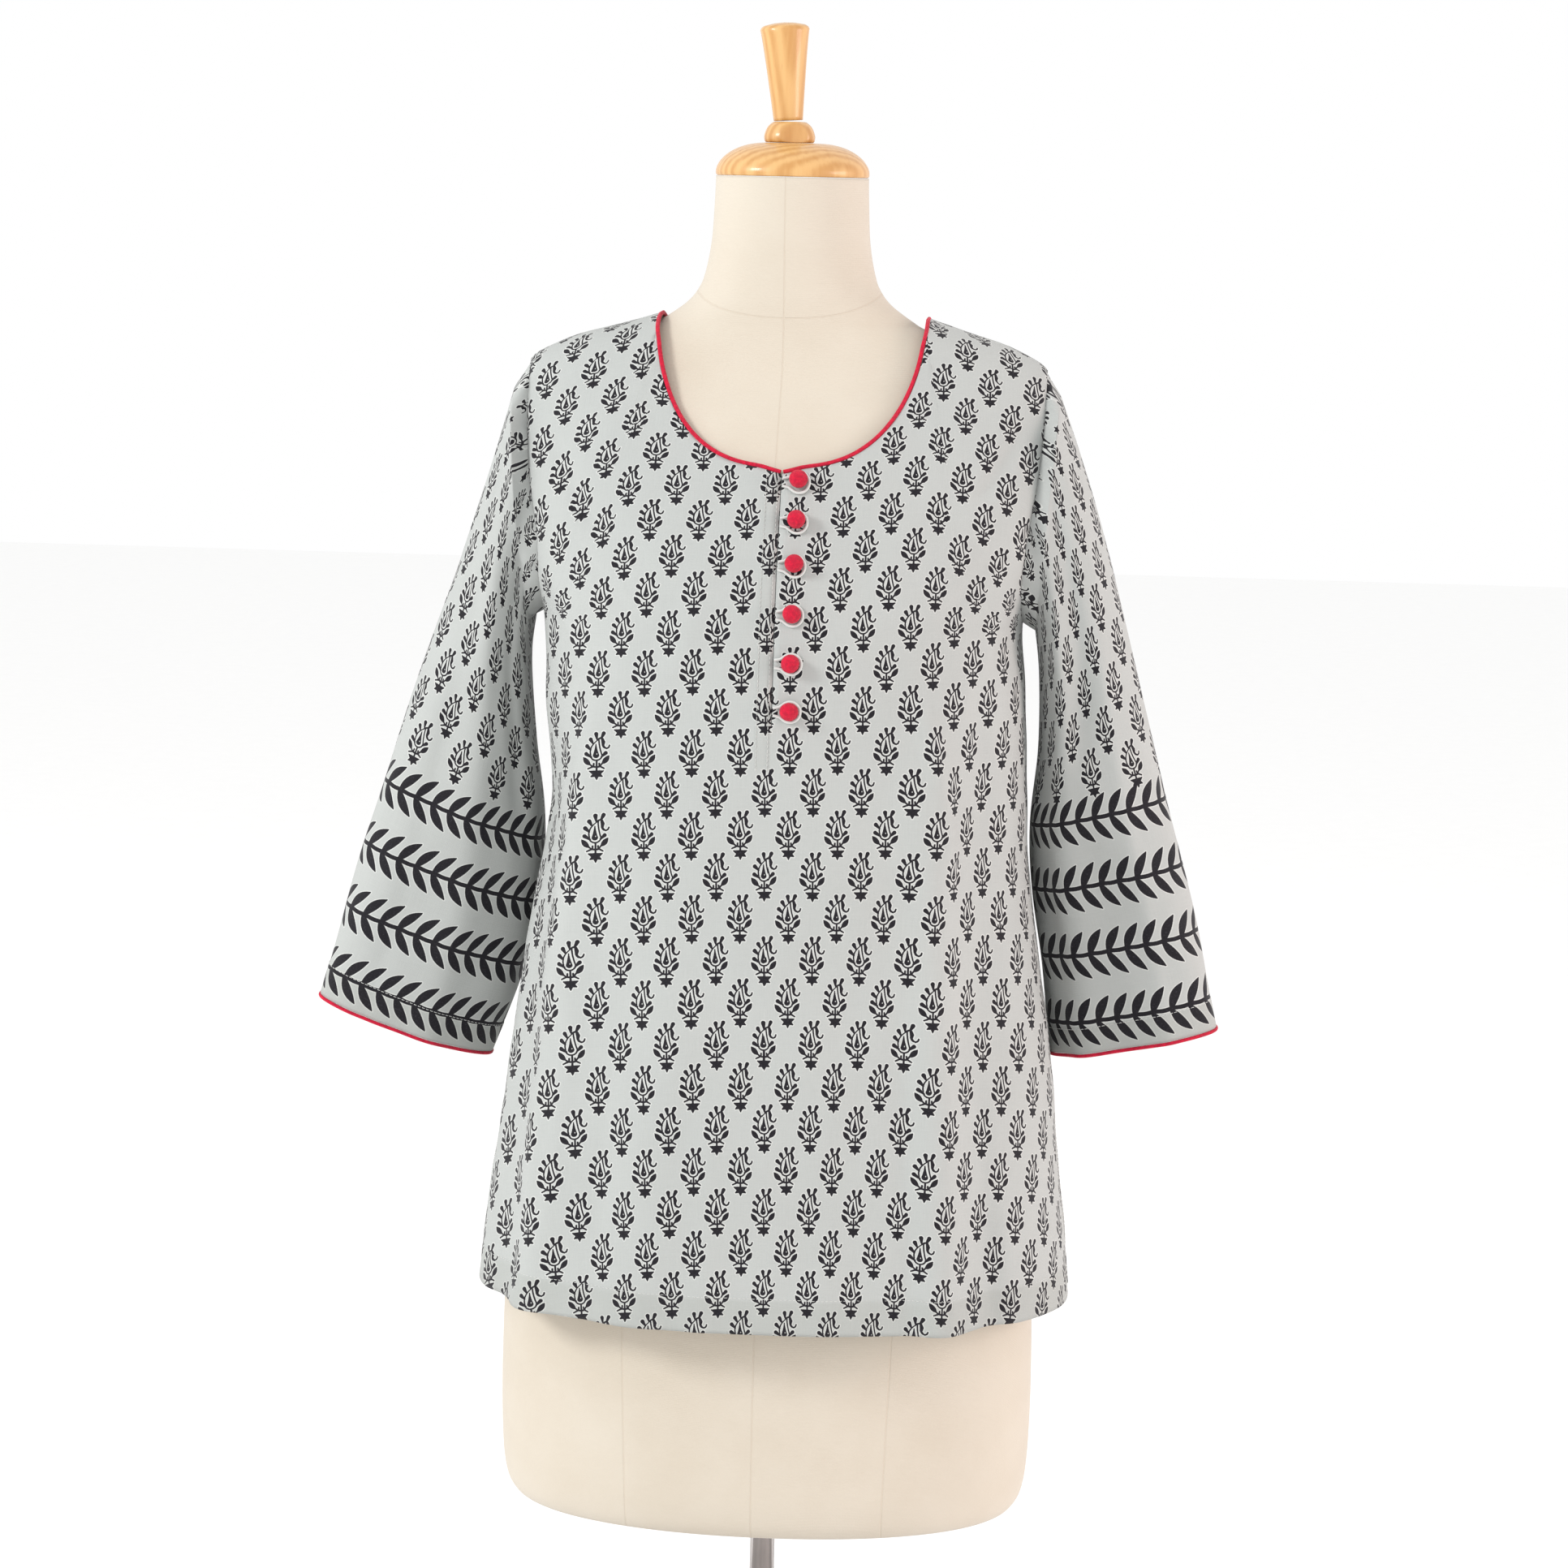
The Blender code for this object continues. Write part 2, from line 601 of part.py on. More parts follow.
def build_buttons(collection):
    """Build the cloth-covered ball buttons and the rouleau loop round each."""
    x = CENTRE_X + BUTTON_OFFSET
    for number, z in enumerate(BUTTON_HEIGHTS, start=1):
        centre = front_surface(x, z, BUTTON_RADIUS + SEAM_GAP)
        bpy.ops.mesh.primitive_uv_sphere_add(
            segments=12, ring_count=8, radius=BUTTON_RADIUS, location=centre
        )
        ball = bpy.context.object
        ball.name = f"button_{number}"
        ball.data.name = ball.name
        ball.data.materials.append(finish("red_silk"))
        ball.data.shade_smooth()
        for owner in list(ball.users_collection):
            owner.objects.unlink(ball)
        collection.objects.link(ball)
        lift = LOOP_RADIUS + LOOP_LIFT
        start_x = CENTRE_X + 0.5 * OPENING_GAP + LOOP_INSET
        neck_x = x - LOOP_NECK_X * LOOP_REACH
        path = [front_surface(start_x, z + LOOP_END_Z * LOOP_REACH, lift)]
        path.append(front_surface(neck_x, z + LOOP_NECK_Z * LOOP_REACH, lift))
        for step in range(LOOP_STEPS + 1):
            angle = LOOP_SWEEP * (1.0 - 2.0 * step / LOOP_STEPS)
            loop_x = x + LOOP_REACH * math.cos(angle)
            loop_z = z + LOOP_REACH * math.sin(angle)
            path.append(front_surface(loop_x, loop_z, lift))
        path.append(front_surface(neck_x, z - LOOP_NECK_Z * LOOP_REACH, lift))
        path.append(front_surface(start_x, z - LOOP_END_Z * LOOP_REACH, lift))
        add_tube(f"button_loop_{number}", path, LOOP_RADIUS, collection, "printed_cotton")


def neckline_station(face, part):
    """Return a point of the neckline's edge and a point of the cloth beside it."""
    sign = math.copysign(1.0, part)
    distance, top_z = top_edge(face, part)
    edge = panel_point(face, part, top_z)
    beside_z = min(top_z - BESIDE, shoulder_height(distance + BESIDE, sign) - BESIDE_DROP)
    x = CENTRE_X + sign * (distance + BESIDE)
    return edge, np.array((x, surface_depth(face, x, beside_z), beside_z))


def neck_corner(sign):
    """Return the neckline's edge at the shoulder seam and a point of the seam beside it."""
    places = []
    for distance in (NECK_HALF_WIDTH, NECK_HALF_WIDTH + BESIDE):
        height = shoulder_height(distance, sign)
        places.append(np.array((CENTRE_X + sign * distance, 0.0, height)))
    return places


def build_neck_piping(collection):
    """Build the red piping round the neckline, open at the button opening."""
    corner = NECK_COLUMNS / (NECK_COLUMNS + SHOULDER_COLUMNS)
    first = (0.5 * OPENING_GAP + NECK_PIPING_INSET) / NECK_HALF_WIDTH
    turn = 2.0 / math.pi * math.asin(first ** (NECK_POWER / 2.0))
    start = corner * (1.0 - (1.0 - turn) ** (1.0 / NECK_SPREAD))
    columns = [part for part in panel_parts() if part < corner - BESIDE_CENTRE]
    front = [start] + columns
    stations = [neckline_station("front", -part) for part in front] + [neck_corner(-1.0)]
    stations += [neckline_station("back", -part) for part in reversed(columns)]
    stations += [neckline_station("back", part) for part in columns] + [neck_corner(1.0)]
    stations += [neckline_station("front", part) for part in reversed(front)]
    path = []
    for index, (edge, beside) in enumerate(stations):
        ahead = stations[min(index + 1, len(stations) - 1)][0]
        run = ahead - stations[max(index - 1, 0)][0]
        run /= np.linalg.norm(run)
        away = edge - beside
        away -= run * float(away @ run)
        away /= np.linalg.norm(away)
        outwards = np.cross(run, away)
        if outwards @ (edge - np.array((CENTRE_X, 0.0, edge[2] - NECK_HALF_WIDTH))) < 0.0:
            outwards = -outwards
        rise = smooth_step((edge[2] - SHOULDER_EASE_Z) / SHOULDER_EASE_RISE)
        ease = SHOULDER_EASE * rise
        offset = away * (NECK_PIPING_RADIUS + PIPING_GAP + ease) - outwards * (0.5 * WALL)
        path.append(edge + offset)
    add_tube("neck_piping", path, NECK_PIPING_RADIUS, collection, "red_silk")


def armhole_edges():
    """Return the side edge of each panel above the underarm, by panel and side."""
    edges = {}
    for face, rows in (("front", PANEL_ROWS), ("back", BACK_ROWS)):
        for sign in (-1.0, 1.0):
            edges[face, sign] = np.array(panel_column(face, sign, rows))
    return edges


def armhole_point(edges, sign, angle):
    """Return the armhole's edge at an angle: 0 at the shoulder tip, 90 at the front."""
    middle = 0.5 * (SHOULDER_TIP_Z + UNDERARM_Z)
    half = 0.5 * (SHOULDER_TIP_Z - UNDERARM_Z)
    z = middle + half * math.cos(angle)
    edge = edges["front" if math.sin(angle) >= 0.0 else "back", sign]
    x = np.interp(z, edge[:, 2], edge[:, 0])
    y = np.interp(z, edge[:, 2], edge[:, 1])
    if abs(math.sin(angle)) < 1e-6:
        y = 0.0
    return np.array((x + sign * ARMHOLE_GAP, y, z))


def section_point(row, sign, angle):
    """Return a point of one sleeve section: angle 0 is its outer end, 90 its front."""
    out_x, out_z, out_y, in_x, in_z, in_y, depth = row
    cosine = math.cos(angle)
    sine = math.sin(angle)
    reach = math.copysign(abs(cosine) ** (2.0 / SLEEVE_POWER), cosine)
    swell = math.copysign(abs(sine) ** (2.0 / SLEEVE_POWER), sine)
    share = 0.5 * (1.0 - reach)
    x = out_x + (in_x - out_x) * share
    y = out_y + (in_y - out_y) * share - depth * swell
    z = out_z + (in_z - out_z) * share
    return np.array((sign * x, y, z))


def sleeve_row(side, place):
    """Return the sleeve's section at a place from 0 at the first row to the last row's number."""
    rows = [(float(index), *row) for index, row in enumerate(SLEEVE_SECTIONS[side])]
    return tuple(curve_through(rows, column + 1, place) for column in range(len(SLEEVE_COLUMNS)))


def sleeve_push(side, angle, share):
    """Return how far the folds push a sleeve outwards."""
    total = 0.0
    for name, first, last, start, end, width, depth in SLEEVE_FOLDS:
        if name != side or not start < share < end:
            continue
        part = (share - start) / (end - start)
        middle = first + (last - first) * part
        apart = (math.degrees(angle) - middle + 180.0) % 360.0 - 180.0
        fade = smooth_step(part / SLEEVE_FOLD_FADE) * smooth_step((1.0 - part) / SLEEVE_FOLD_FADE)
        total += depth * fade * math.exp(-((apart / width) ** 2))
    return total


def sleeve_point(edges, side, share, angle):
    """Return an outer point of a sleeve, from 0 at the armhole to 1 at the cuff."""
    sign = -1.0 if side == "left" else 1.0
    last = len(SLEEVE_SECTIONS[side]) - 1
    place = share * (last + 1) - 1.0
    row = sleeve_row(side, max(place, 0.0))
    point = section_point(row, sign, angle)
    middle = 0.5 * (section_point(row, sign, 0.0) + section_point(row, sign, math.pi))
    if place < 0.0:
        edge = armhole_point(edges, sign, angle)
        point = edge + (point - edge) * (place + 1.0)
        return point
    away = point - middle
    away /= np.linalg.norm(away)
    return point + away * sleeve_push(side, angle, share)


def build_sleeve(side, collection):
    """Build one sleeve as a tube from the armhole to the cuff."""
    shares = [0.0, ARMHOLE_ROW] + [index / SLEEVE_ROWS for index in range(1, SLEEVE_ROWS + 1)]
    edges = armhole_edges()
    points = []
    for share in shares:
        for index in range(SLEEVE_SIDES):
            points.append(sleeve_point(edges, side, share, 2.0 * math.pi * index / SLEEVE_SIDES))
    faces = []
    for row in range(len(shares) - 1):
        for index in range(SLEEVE_SIDES):
            following = (index + 1) % SLEEVE_SIDES
            low = row * SLEEVE_SIDES
            high = low + SLEEVE_SIDES
            face = (low + index, low + following, high + following, high + index)
            faces.append(tuple(reversed(face)) if side == "left" else face)
    item = mesh_object(f"sleeve_{side}", points, faces, collection, "printed_cotton")
    add_wall(item)


def build_cuff_piping(side, collection):
    """Build the red piping along one sleeve's hem."""
    edges = armhole_edges()
    ends = [sleeve_point(edges, side, 1.0, angle) for angle in (0.0, math.pi)]
    middle = 0.5 * (ends[0] + ends[1])
    path = []
    for index in range(SLEEVE_SIDES):
        angle = 2.0 * math.pi * index / SLEEVE_SIDES
        edge = sleeve_point(edges, side, 1.0, angle)
        above = sleeve_point(edges, side, CUFF_ROW, angle)
        down = edge - above
        down /= np.linalg.norm(down)
        inwards = middle - edge
        inwards -= down * float(inwards @ down)
        inwards /= np.linalg.norm(inwards)
        path.append(edge + down * (CUFF_PIPING_RADIUS + CUFF_GAP) + inwards * 0.5 * WALL)
    add_tube(f"cuff_piping_{side}", path, CUFF_PIPING_RADIUS, collection, "red_silk", cyclic=True)


def build_form(collection):
    """Build the dress form as one closed body, from its flat foot to its neck."""
    points = []
    for z, width, front, back, power in FORM_LEVELS:
        for index in range(FORM_SIDES):
            angle = 2.0 * math.pi * index / FORM_SIDES
            across = math.copysign(abs(math.cos(angle)) ** (2.0 / power), math.cos(angle))
            along = math.copysign(abs(math.sin(angle)) ** (2.0 / power), math.sin(angle))
            depth = back if along > 0.0 else front
            points.append((width * across, depth * along, z))
    faces = []
    for row in range(len(FORM_LEVELS) - 1):
        for index in range(FORM_SIDES):
            following = (index + 1) % FORM_SIDES
            low = row * FORM_SIDES
            high = low + FORM_SIDES
            faces.append((low + index, low + following, high + following, high + index))
    last = (len(FORM_LEVELS) - 1) * FORM_SIDES
    faces.append(tuple(reversed(range(FORM_SIDES))))
    faces.append(tuple(range(last, last + FORM_SIDES)))
    item = mesh_object("dress_form", points, faces, collection, "cream_jersey")
    close_body(item)


def build_cap(collection):
    """Build the turned wooden cap, the bead on it and the leaning handle."""
    rim = NECK_RIM_Z + SEAM_GAP
    dome = CAP_TOP_Z - rim
    profile = [(0.0, dome), (CAP_FLAT, dome)]
    for step in range(1, CAP_STEPS + 1):
        angle = 0.5 * math.pi * step / CAP_STEPS
        radius = CAP_FLAT + (CAP_RADIUS - CAP_FLAT) * math.sin(angle) ** CAP_SWELL
        height = CAP_LIP + (dome - CAP_LIP) * max(0.0, math.cos(angle)) ** CAP_DROP
        profile.append((radius, height))
    profile += [(CAP_RADIUS, CAP_EDGE), (CAP_RADIUS - CAP_EDGE, 0.0), (0.0, 0.0)]
    add_turned("cap", profile, (0.0, 0.0, rim), collection, "honey_wood", CAP_SIDES)

    seat = (BEAD_X, 0.0, CAP_TOP_Z + SEAM_GAP)
    add_turned("cap_bead", BEAD_PROFILE, seat, collection, "honey_wood")

    spread = HANDLE_TOP_RADIUS - HANDLE_FOOT_RADIUS
    handle = [(HANDLE_TOP_RADIUS * part, HANDLE_HEIGHT - fall) for part, fall in HANDLE_CROWN]
    for step in range(1, HANDLE_STEPS + 1):
        share = step / HANDLE_STEPS
        radius = HANDLE_TOP_RADIUS - spread * share**HANDLE_TAPER
        handle.append((radius, (HANDLE_HEIGHT - HANDLE_SHOULDER) * (1.0 - share)))
    handle.append((0.0, 0.0))
    lift = HANDLE_FOOT_RADIUS * math.sin(abs(HANDLE_LEAN)) + SEAM_GAP
    foot = (BEAD_X - HANDLE_SHIFT, 0.0, CAP_TOP_Z + SEAM_GAP + BEAD_HEIGHT + lift)
    add_turned("cap_handle", handle, foot, collection, "honey_wood", lean=HANDLE_LEAN)


def build_stand(collection):
    """Build the round base plate with its boss, and the pole that carries the form."""
    plate = [(0.0, BOSS_TOP_Z)]
    plate.append((BOSS_RADIUS - BOSS_CHAMFER, BOSS_TOP_Z))
    plate.append((BOSS_RADIUS, BOSS_TOP_Z - BOSS_CHAMFER))
    plate.append((BOSS_RADIUS, BASE_THICKNESS + BOSS_CHAMFER))
    plate.append((BOSS_RADIUS + BOSS_CHAMFER, BASE_THICKNESS))
    plate.append((BASE_RADIUS - BASE_FALL, BASE_THICKNESS))
    plate.append((BASE_RADIUS - BASE_ROUND, BASE_THICKNESS - BASE_ROUND))
    plate.append((BASE_RADIUS, BASE_THICKNESS - BASE_FALL))
    plate.append((BASE_RADIUS, BASE_ROUND))
    plate.append((BASE_RADIUS - BASE_ROUND, 0.0))
    plate.append((0.0, 0.0))
    floor = (0.0, 0.0, 0.0)
    add_turned("base_plate", plate, floor, collection, "grey_enamel", BASE_STEPS)

    foot = BOSS_TOP_Z + SEAM_GAP
    height = FORM_FOOT_Z - SEAM_GAP - foot
    pole = [(0.0, height), (POLE_RADIUS, height), (POLE_RADIUS, 0.0), (0.0, 0.0)]
    add_turned("pole", pole, (0.0, 0.0, foot), collection, "bright_steel", POLE_SIDES)


def main():
    """Build every piece in the order that it is put together."""
    clear_scene()
    collection = bpy.data.collections.new("block_printed_tunic")
    bpy.context.scene.collection.children.link(collection)
    build_stand(collection)
    build_form(collection)
    build_cap(collection)
    build_front(collection)
    build_back(collection)
    build_underlap(collection)
    for side in ("left", "right"):
        build_sleeve(side, collection)
        build_cuff_piping(side, collection)
    build_neck_piping(collection)
    build_buttons(collection)


main()
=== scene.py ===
"""Blender scene of a block-printed cotton tunic worn by a limbless dress form.

The front faces -Y, +X is the right as seen from the front and +Z is up, in metres. Left and
right are as seen from the front. The tunic's fine cloth follows the same tables as its solids.
"""
import logging
import math
from dataclasses import dataclass
from enum import Enum
from typing import Any, Callable

import bmesh
import bpy
import numpy as np
from mathutils import Matrix, Vector


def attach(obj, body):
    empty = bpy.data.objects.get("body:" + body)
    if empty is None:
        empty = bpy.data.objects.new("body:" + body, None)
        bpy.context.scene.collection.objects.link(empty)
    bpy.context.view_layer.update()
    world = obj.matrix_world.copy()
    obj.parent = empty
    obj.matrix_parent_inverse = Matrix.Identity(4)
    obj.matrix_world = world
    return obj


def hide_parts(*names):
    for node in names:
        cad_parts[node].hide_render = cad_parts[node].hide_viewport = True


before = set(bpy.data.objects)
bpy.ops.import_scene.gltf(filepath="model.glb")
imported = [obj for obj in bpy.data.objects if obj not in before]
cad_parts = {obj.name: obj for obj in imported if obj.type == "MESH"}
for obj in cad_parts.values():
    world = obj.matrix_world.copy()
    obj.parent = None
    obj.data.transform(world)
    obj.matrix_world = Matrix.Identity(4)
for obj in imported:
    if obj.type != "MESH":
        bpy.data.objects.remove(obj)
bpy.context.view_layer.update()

Array = np.ndarray
Triple = tuple[float, float, float]
Material = bpy.types.Material
Piece = bpy.types.Object

LOG = logging.getLogger("tunic")
WALL = 0.0009
SEAM_GAP = 0.0003
THREAD_LIFT = 0.0001
TURNED_HEM_RISE = 0.0004
MILLIMETRES = 1000.0


class Face(Enum):
    """The two panels of the tunic's body; the value is the direction that each faces along Y."""

    FRONT = -1.0
    BACK = 1.0


class Side(Enum):
    """The two sides as seen from the front; the value is the direction of each along X."""

    LEFT = -1.0
    RIGHT = 1.0


# Shader graphs


class Signal:
    """A node's output socket that takes part in Python expressions."""

    def __init__(self, graph: "Graph", socket: bpy.types.NodeSocket) -> None:
        """Keep the graph and the socket."""
        self.graph = graph
        self.socket = socket

    def math(self, operation: str, *others: Any) -> "Signal":
        """Add one Math node.

        Args:
            operation: The Math node's operation.
            others: The other values or signals, in the order of the node's sockets.

        Returns:
            The result.
        """
        settings = {"operation": operation}
        return self.graph.node("ShaderNodeMath", settings, dict(enumerate((self, *others))))

    def __add__(self, other: Any) -> "Signal":
        """Return the sum."""
        return self.math("ADD", other)

    __radd__ = __add__

    def __mul__(self, other: Any) -> "Signal":
        """Return the product."""
        return self.math("MULTIPLY", other)

    __rmul__ = __mul__

    def __sub__(self, other: Any) -> "Signal":
        """Return this less the other."""
        return self.math("SUBTRACT", other)

    def __rsub__(self, other: Any) -> "Signal":
        """Return the other less this."""
        return self.graph.node("ShaderNodeMath", {"operation": "SUBTRACT"}, {0: other, 1: self})

    def __truediv__(self, other: Any) -> "Signal":
        """Return the quotient."""
        return self.math("DIVIDE", other)

    def __neg__(self) -> "Signal":
        """Return the value with its sign turned."""
        return self.math("MULTIPLY", -1.0)

    def __abs__(self) -> "Signal":
        """Return the size of the value."""
        return self.math("ABSOLUTE")

    def clamped(self) -> "Signal":
        """Hold the value between 0 and 1."""
        return self.math("MAXIMUM", 0.0).math("MINIMUM", 1.0)

    def ramp(self, low: float, high: float) -> "Signal":
        """Rise smoothly from 0 at low to 1 at high."""
        settings = {"interpolation_type": "SMOOTHSTEP"}
        return self.graph.node("ShaderNodeMapRange", settings, {0: self, 1: low, 2: high})


class Graph:
    """The node tree of a material or of the stitches, built from Python expressions."""

    def __init__(self, tree: bpy.types.NodeTree) -> None:
        """Keep the tree."""
        self.tree = tree

    def node(self, kind: str, settings: dict | None = None, inputs: dict | None = None,
             output: int | str = 0) -> Signal:
        """Add any node.

        Args:
            kind: The node's type.
            settings: Its own settings, set first.
            inputs: Values or signals by socket name or number.
            output: The name or number of the socket to return.

        Returns:
            The chosen output.
        """
        made = self.tree.nodes.new(kind)
        for key, setting in (settings or {}).items():
            setattr(made, key, setting)
        for key, value in (inputs or {}).items():
            if isinstance(value, Signal):
                self.tree.links.new(value.socket, made.inputs[key])
            else:
                made.inputs[key].default_value = value
        return Signal(self, made.outputs[output])

    def vector(self, operation: str, *others: Any, output: str = "Vector") -> Signal:
        """Add one Vector Math node and return its chosen output."""
        settings = {"operation": operation}
        return self.node("ShaderNodeVectorMath", settings, dict(enumerate(others)), output)

    def scaled(self, vector: Triple, amount: Signal) -> Signal:
        """Return a fixed vector times an amount."""
        return self.node("ShaderNodeVectorMath", {"operation": "SCALE"}, {0: vector, "Scale": amount})

    def combine(self, x: Any, y: Any, z: Any = 0.0) -> Signal:
        """Join three values into a vector."""
        return self.node("ShaderNodeCombineXYZ", None, {0: x, 1: y, 2: z})

    def split(self, vector: Signal) -> tuple[Signal, Signal, Signal]:
        """Return the three values of a vector."""
        first = self.node("ShaderNodeSeparateXYZ", None, {0: vector})
        outputs = first.socket.node.outputs
        return first, Signal(self, outputs[1]), Signal(self, outputs[2])

    def mix(self, share: Any, first: Any, second: Any, blend: str = "MIX") -> Signal:
        """Mix two colours."""
        settings = {"data_type": "RGBA", "blend_type": blend, "clamp_factor": True}
        colours = [one if isinstance(one, Signal) else (*one, 1.0) for one in (first, second)]
        return self.node("ShaderNodeMix", settings, {0: share, 6: colours[0], 7: colours[1]}, 2)

    def noise(self, place: Signal, scale: float, detail: float = 2.0, rough: float = 0.5) -> Signal:
        """Return soft noise between 0 and 1."""
        inputs = {"Vector": place, "Scale": scale, "Detail": detail, "Roughness": rough}
        return self.node("ShaderNodeTexNoise", None, inputs)

    def coordinates(self, kind: str) -> Signal:
        """Return the piece's own coordinates: Object or UV."""
        return self.node("ShaderNodeTexCoord", None, None, kind)

    def bump(self, height: Signal, distance: float, strength: float = 1.0) -> Signal:
        """Return a normal bent by a height between 0 and 1."""
        inputs = {"Strength": strength, "Distance": distance, "Height": height}
        return self.node("ShaderNodeBump", None, inputs)

    def shade(self, colour: Signal, roughness: Any, normal: Signal | None,
              others: dict[str, float]) -> None:
        """Finish a material with one Principled shader.

        Args:
            colour: The base colour.
            roughness: A number or a signal.
            normal: The bent normal, or none.
            others: The shader's other numbers by socket name.
        """
        inputs = {"Base Color": colour, "Roughness": roughness, **others}
        if normal is not None:
            inputs["Normal"] = normal
        shader = self.node("ShaderNodeBsdfPrincipled", None, inputs)
        end = self.tree.nodes.new("ShaderNodeOutputMaterial")
        self.tree.links.new(shader.socket, end.inputs["Surface"])


@dataclass(frozen=True)
class Finish:
    """A cloth, wood, metal or paint that becomes one material."""

    name: str
    mapping = "Object"

    def material(self) -> Material:
        """Build the material under the finish's name."""
        made = bpy.data.materials.new(self.name)
        made.use_nodes = True
        made.node_tree.nodes.clear()
        graph = Graph(made.node_tree)
        self.paint(graph, graph.coordinates(self.mapping))
        return made

    def paint(self, graph: Graph, place: Signal) -> None:
        """Build the shader.

        Args:
            graph: The material's empty graph.
            place: The place on the piece, in metres.
        """
        raise NotImplementedError


@dataclass(frozen=True)
class Stroke:
    """One stroke of the printing block, in millimetres: a drop, stalk or leaf."""

    x0: float
    y0: float
    x1: float
    y1: float
    start: float
    end: float
    belly: float = 0.0
    bow: float = 0.0

    def distance(self, graph: Graph, spot: Signal) -> Signal:
        """Return how far a spot lies outside the stroke.

        Args:
            graph: The material's graph.
            spot: The place on the cloth, in millimetres from the block's middle.

        Returns:
            The distance, negative inside.
        """
        run = (self.x1 - self.x0, self.y1 - self.y0)
        square = run[0] ** 2 + run[1] ** 2
        away = graph.vector("SUBTRACT", spot, (self.x0, self.y0, 0.0))
        slope = (run[0] / square, run[1] / square, 0.0)
        share = graph.vector("DOT_PRODUCT", away, slope, output="Value").clamped()
        rest = graph.vector("ADD", graph.scaled((-run[0], -run[1], 0.0), share), away)
        radius = share * (self.end - self.start) + self.start
        if self.belly or self.bow:
            swell = share * (1.0 - share) * 4.0
            if self.belly:
                radius = radius + swell * self.belly
            if self.bow:
                bend = self.bow / math.sqrt(square)
                side = graph.scaled((-run[1] * bend, run[0] * bend, 0.0), swell)
                rest = graph.vector("ADD", side, rest)
        return graph.vector("LENGTH", rest, output="Value") - radius


def nearest(graph: Graph, spot: Signal, strokes: tuple[Stroke, ...]) -> Signal:
    """Return how far a spot lies outside the nearest of several strokes."""
    least = strokes[0].distance(graph, spot)
    for stroke in strokes[1:]:
        least = least.math("MINIMUM", stroke.distance(graph, spot))
    return least


@dataclass(frozen=True)
class Block:
    """The small flowering sprig that is printed all over, and the lattice that it stands on."""

    column: float = 34.3
    row: float = 29.4
    wander: float = 0.55
    strokes: tuple[Stroke, ...] = tuple(Stroke(*sizes) for sizes in (
        (0.9, -13.5, -3.7, -11.7, 2.3, 0.3), (0.9, -13.5, 5.3, -11.7, 2.3, 0.3),
        (0.9, -13.5, -2.7, -15.6, 2.3, 0.3), (0.9, -13.5, 4.5, -15.6, 2.3, 0.3),
        (0.9, -13.7, 0.9, -17.7, 2.2, 0.25), (-4.9, -9.9, -1.5, -8.4, 0.35, 0.5),
        (-1.5, -8.4, 3.3, -8.4, 0.5, 0.5, 0.0, 0.35), (3.3, -8.4, 5.8, -9.9, 0.5, 0.35),
        (0.9, -11.1, 0.9, -4.6, 0.5, 0.45), (-1.1, -8.2, -1.0, -6.3, 0.45, 0.45),
        (2.8, -8.2, 2.6, -6.3, 0.45, 0.45), (-1.5, -8.6, -3.5, -6.9, 0.4, 0.4),
        (-3.4, -7.1, -8.4, -1.6, 0.3, 0.1, 1.45, -0.2), (2.9, -8.4, 4.6, -6.1, 0.4, 0.4),
        (4.6, -6.4, 9.1, -0.8, 0.3, 0.1, 1.45, 0.2), (0.4, -0.2, 0.2, 7.6, 1.95, 0.2, -0.25),
        (-6.4, 0.9, -2.6, -1.6, 1.25, 0.45), (-6.0, 6.5, -3.3, 3.8, 1.3, 0.45),
        (-3.5, 11.2, -1.9, 8.4, 1.3, 0.5), (0.3, 15.1, 0.8, 11.7, 1.3, 0.5),
        (5.6, 15.5, 4.1, 12.3, 1.25, 0.6), (6.8, 1.2, 4.1, -1.4, 1.2, 0.45),
        (1.1, 10.8, 4.1, 12.3, 0.45, 0.5, 0.0, -0.2), (4.6, 11.3, 5.2, 9.2, 0.8, 1.15),
        (5.2, 9.2, 5.0, 7.0, 1.15, 0.75), (5.0, 7.0, 7.5, 4.5, 0.75, 0.45, 0.0, 0.55),
        (7.5, 4.5, 9.4, 6.6, 0.45, 0.42, 0.0, 0.5),
    ))
    ring: Stroke = Stroke(0.6, -0.1, 1.8, 10.6, 3.85, 0.4, 0.75, -1.15)
    ring_width: float = 0.36
    eye: Stroke = Stroke(0.9, 0.4, 0.95, 0.8, 0.5, 0.45)

    def cell(self, graph: Graph, place: Signal) -> tuple[Signal, Signal]:
        """Find the block that a place belongs to.

        Args:
            graph: The material's graph.
            place: The place on the cloth, in millimetres.

        Returns:
            The place from the block's middle, and the block's middle itself.
        """
        x, y, _ = graph.split(place)
        across = x / (0.5 * self.column)
        up = y / self.row
        first = ((across + up) * 0.5).math("ROUND")
        second = ((across - up) * 0.5).math("ROUND")
        middle = graph.combine((first + second) * (0.5 * self.column), (first - second) * self.row)
        chance = graph.node("ShaderNodeTexWhiteNoise", None, {"Vector": middle}, "Color")
        shift = graph.vector("MULTIPLY_ADD", chance, (self.wander, self.wander, 0.0),
                             (-0.5 * self.wander, -0.5 * self.wander, 0.0))
        spot = graph.vector("ADD", graph.vector("SUBTRACT", place, middle), shift)
        return spot, middle

    def distance(self, graph: Graph, spot: Signal) -> Signal:
        """Return how far a spot lies outside the printed sprig."""
        shape = nearest(graph, spot, self.strokes)
        ring = abs(self.ring.distance(graph, spot)) - self.ring_width
        inside = shape.math("MAXIMUM", -self.eye.distance(graph, spot))
        return inside.math("MINIMUM", ring)


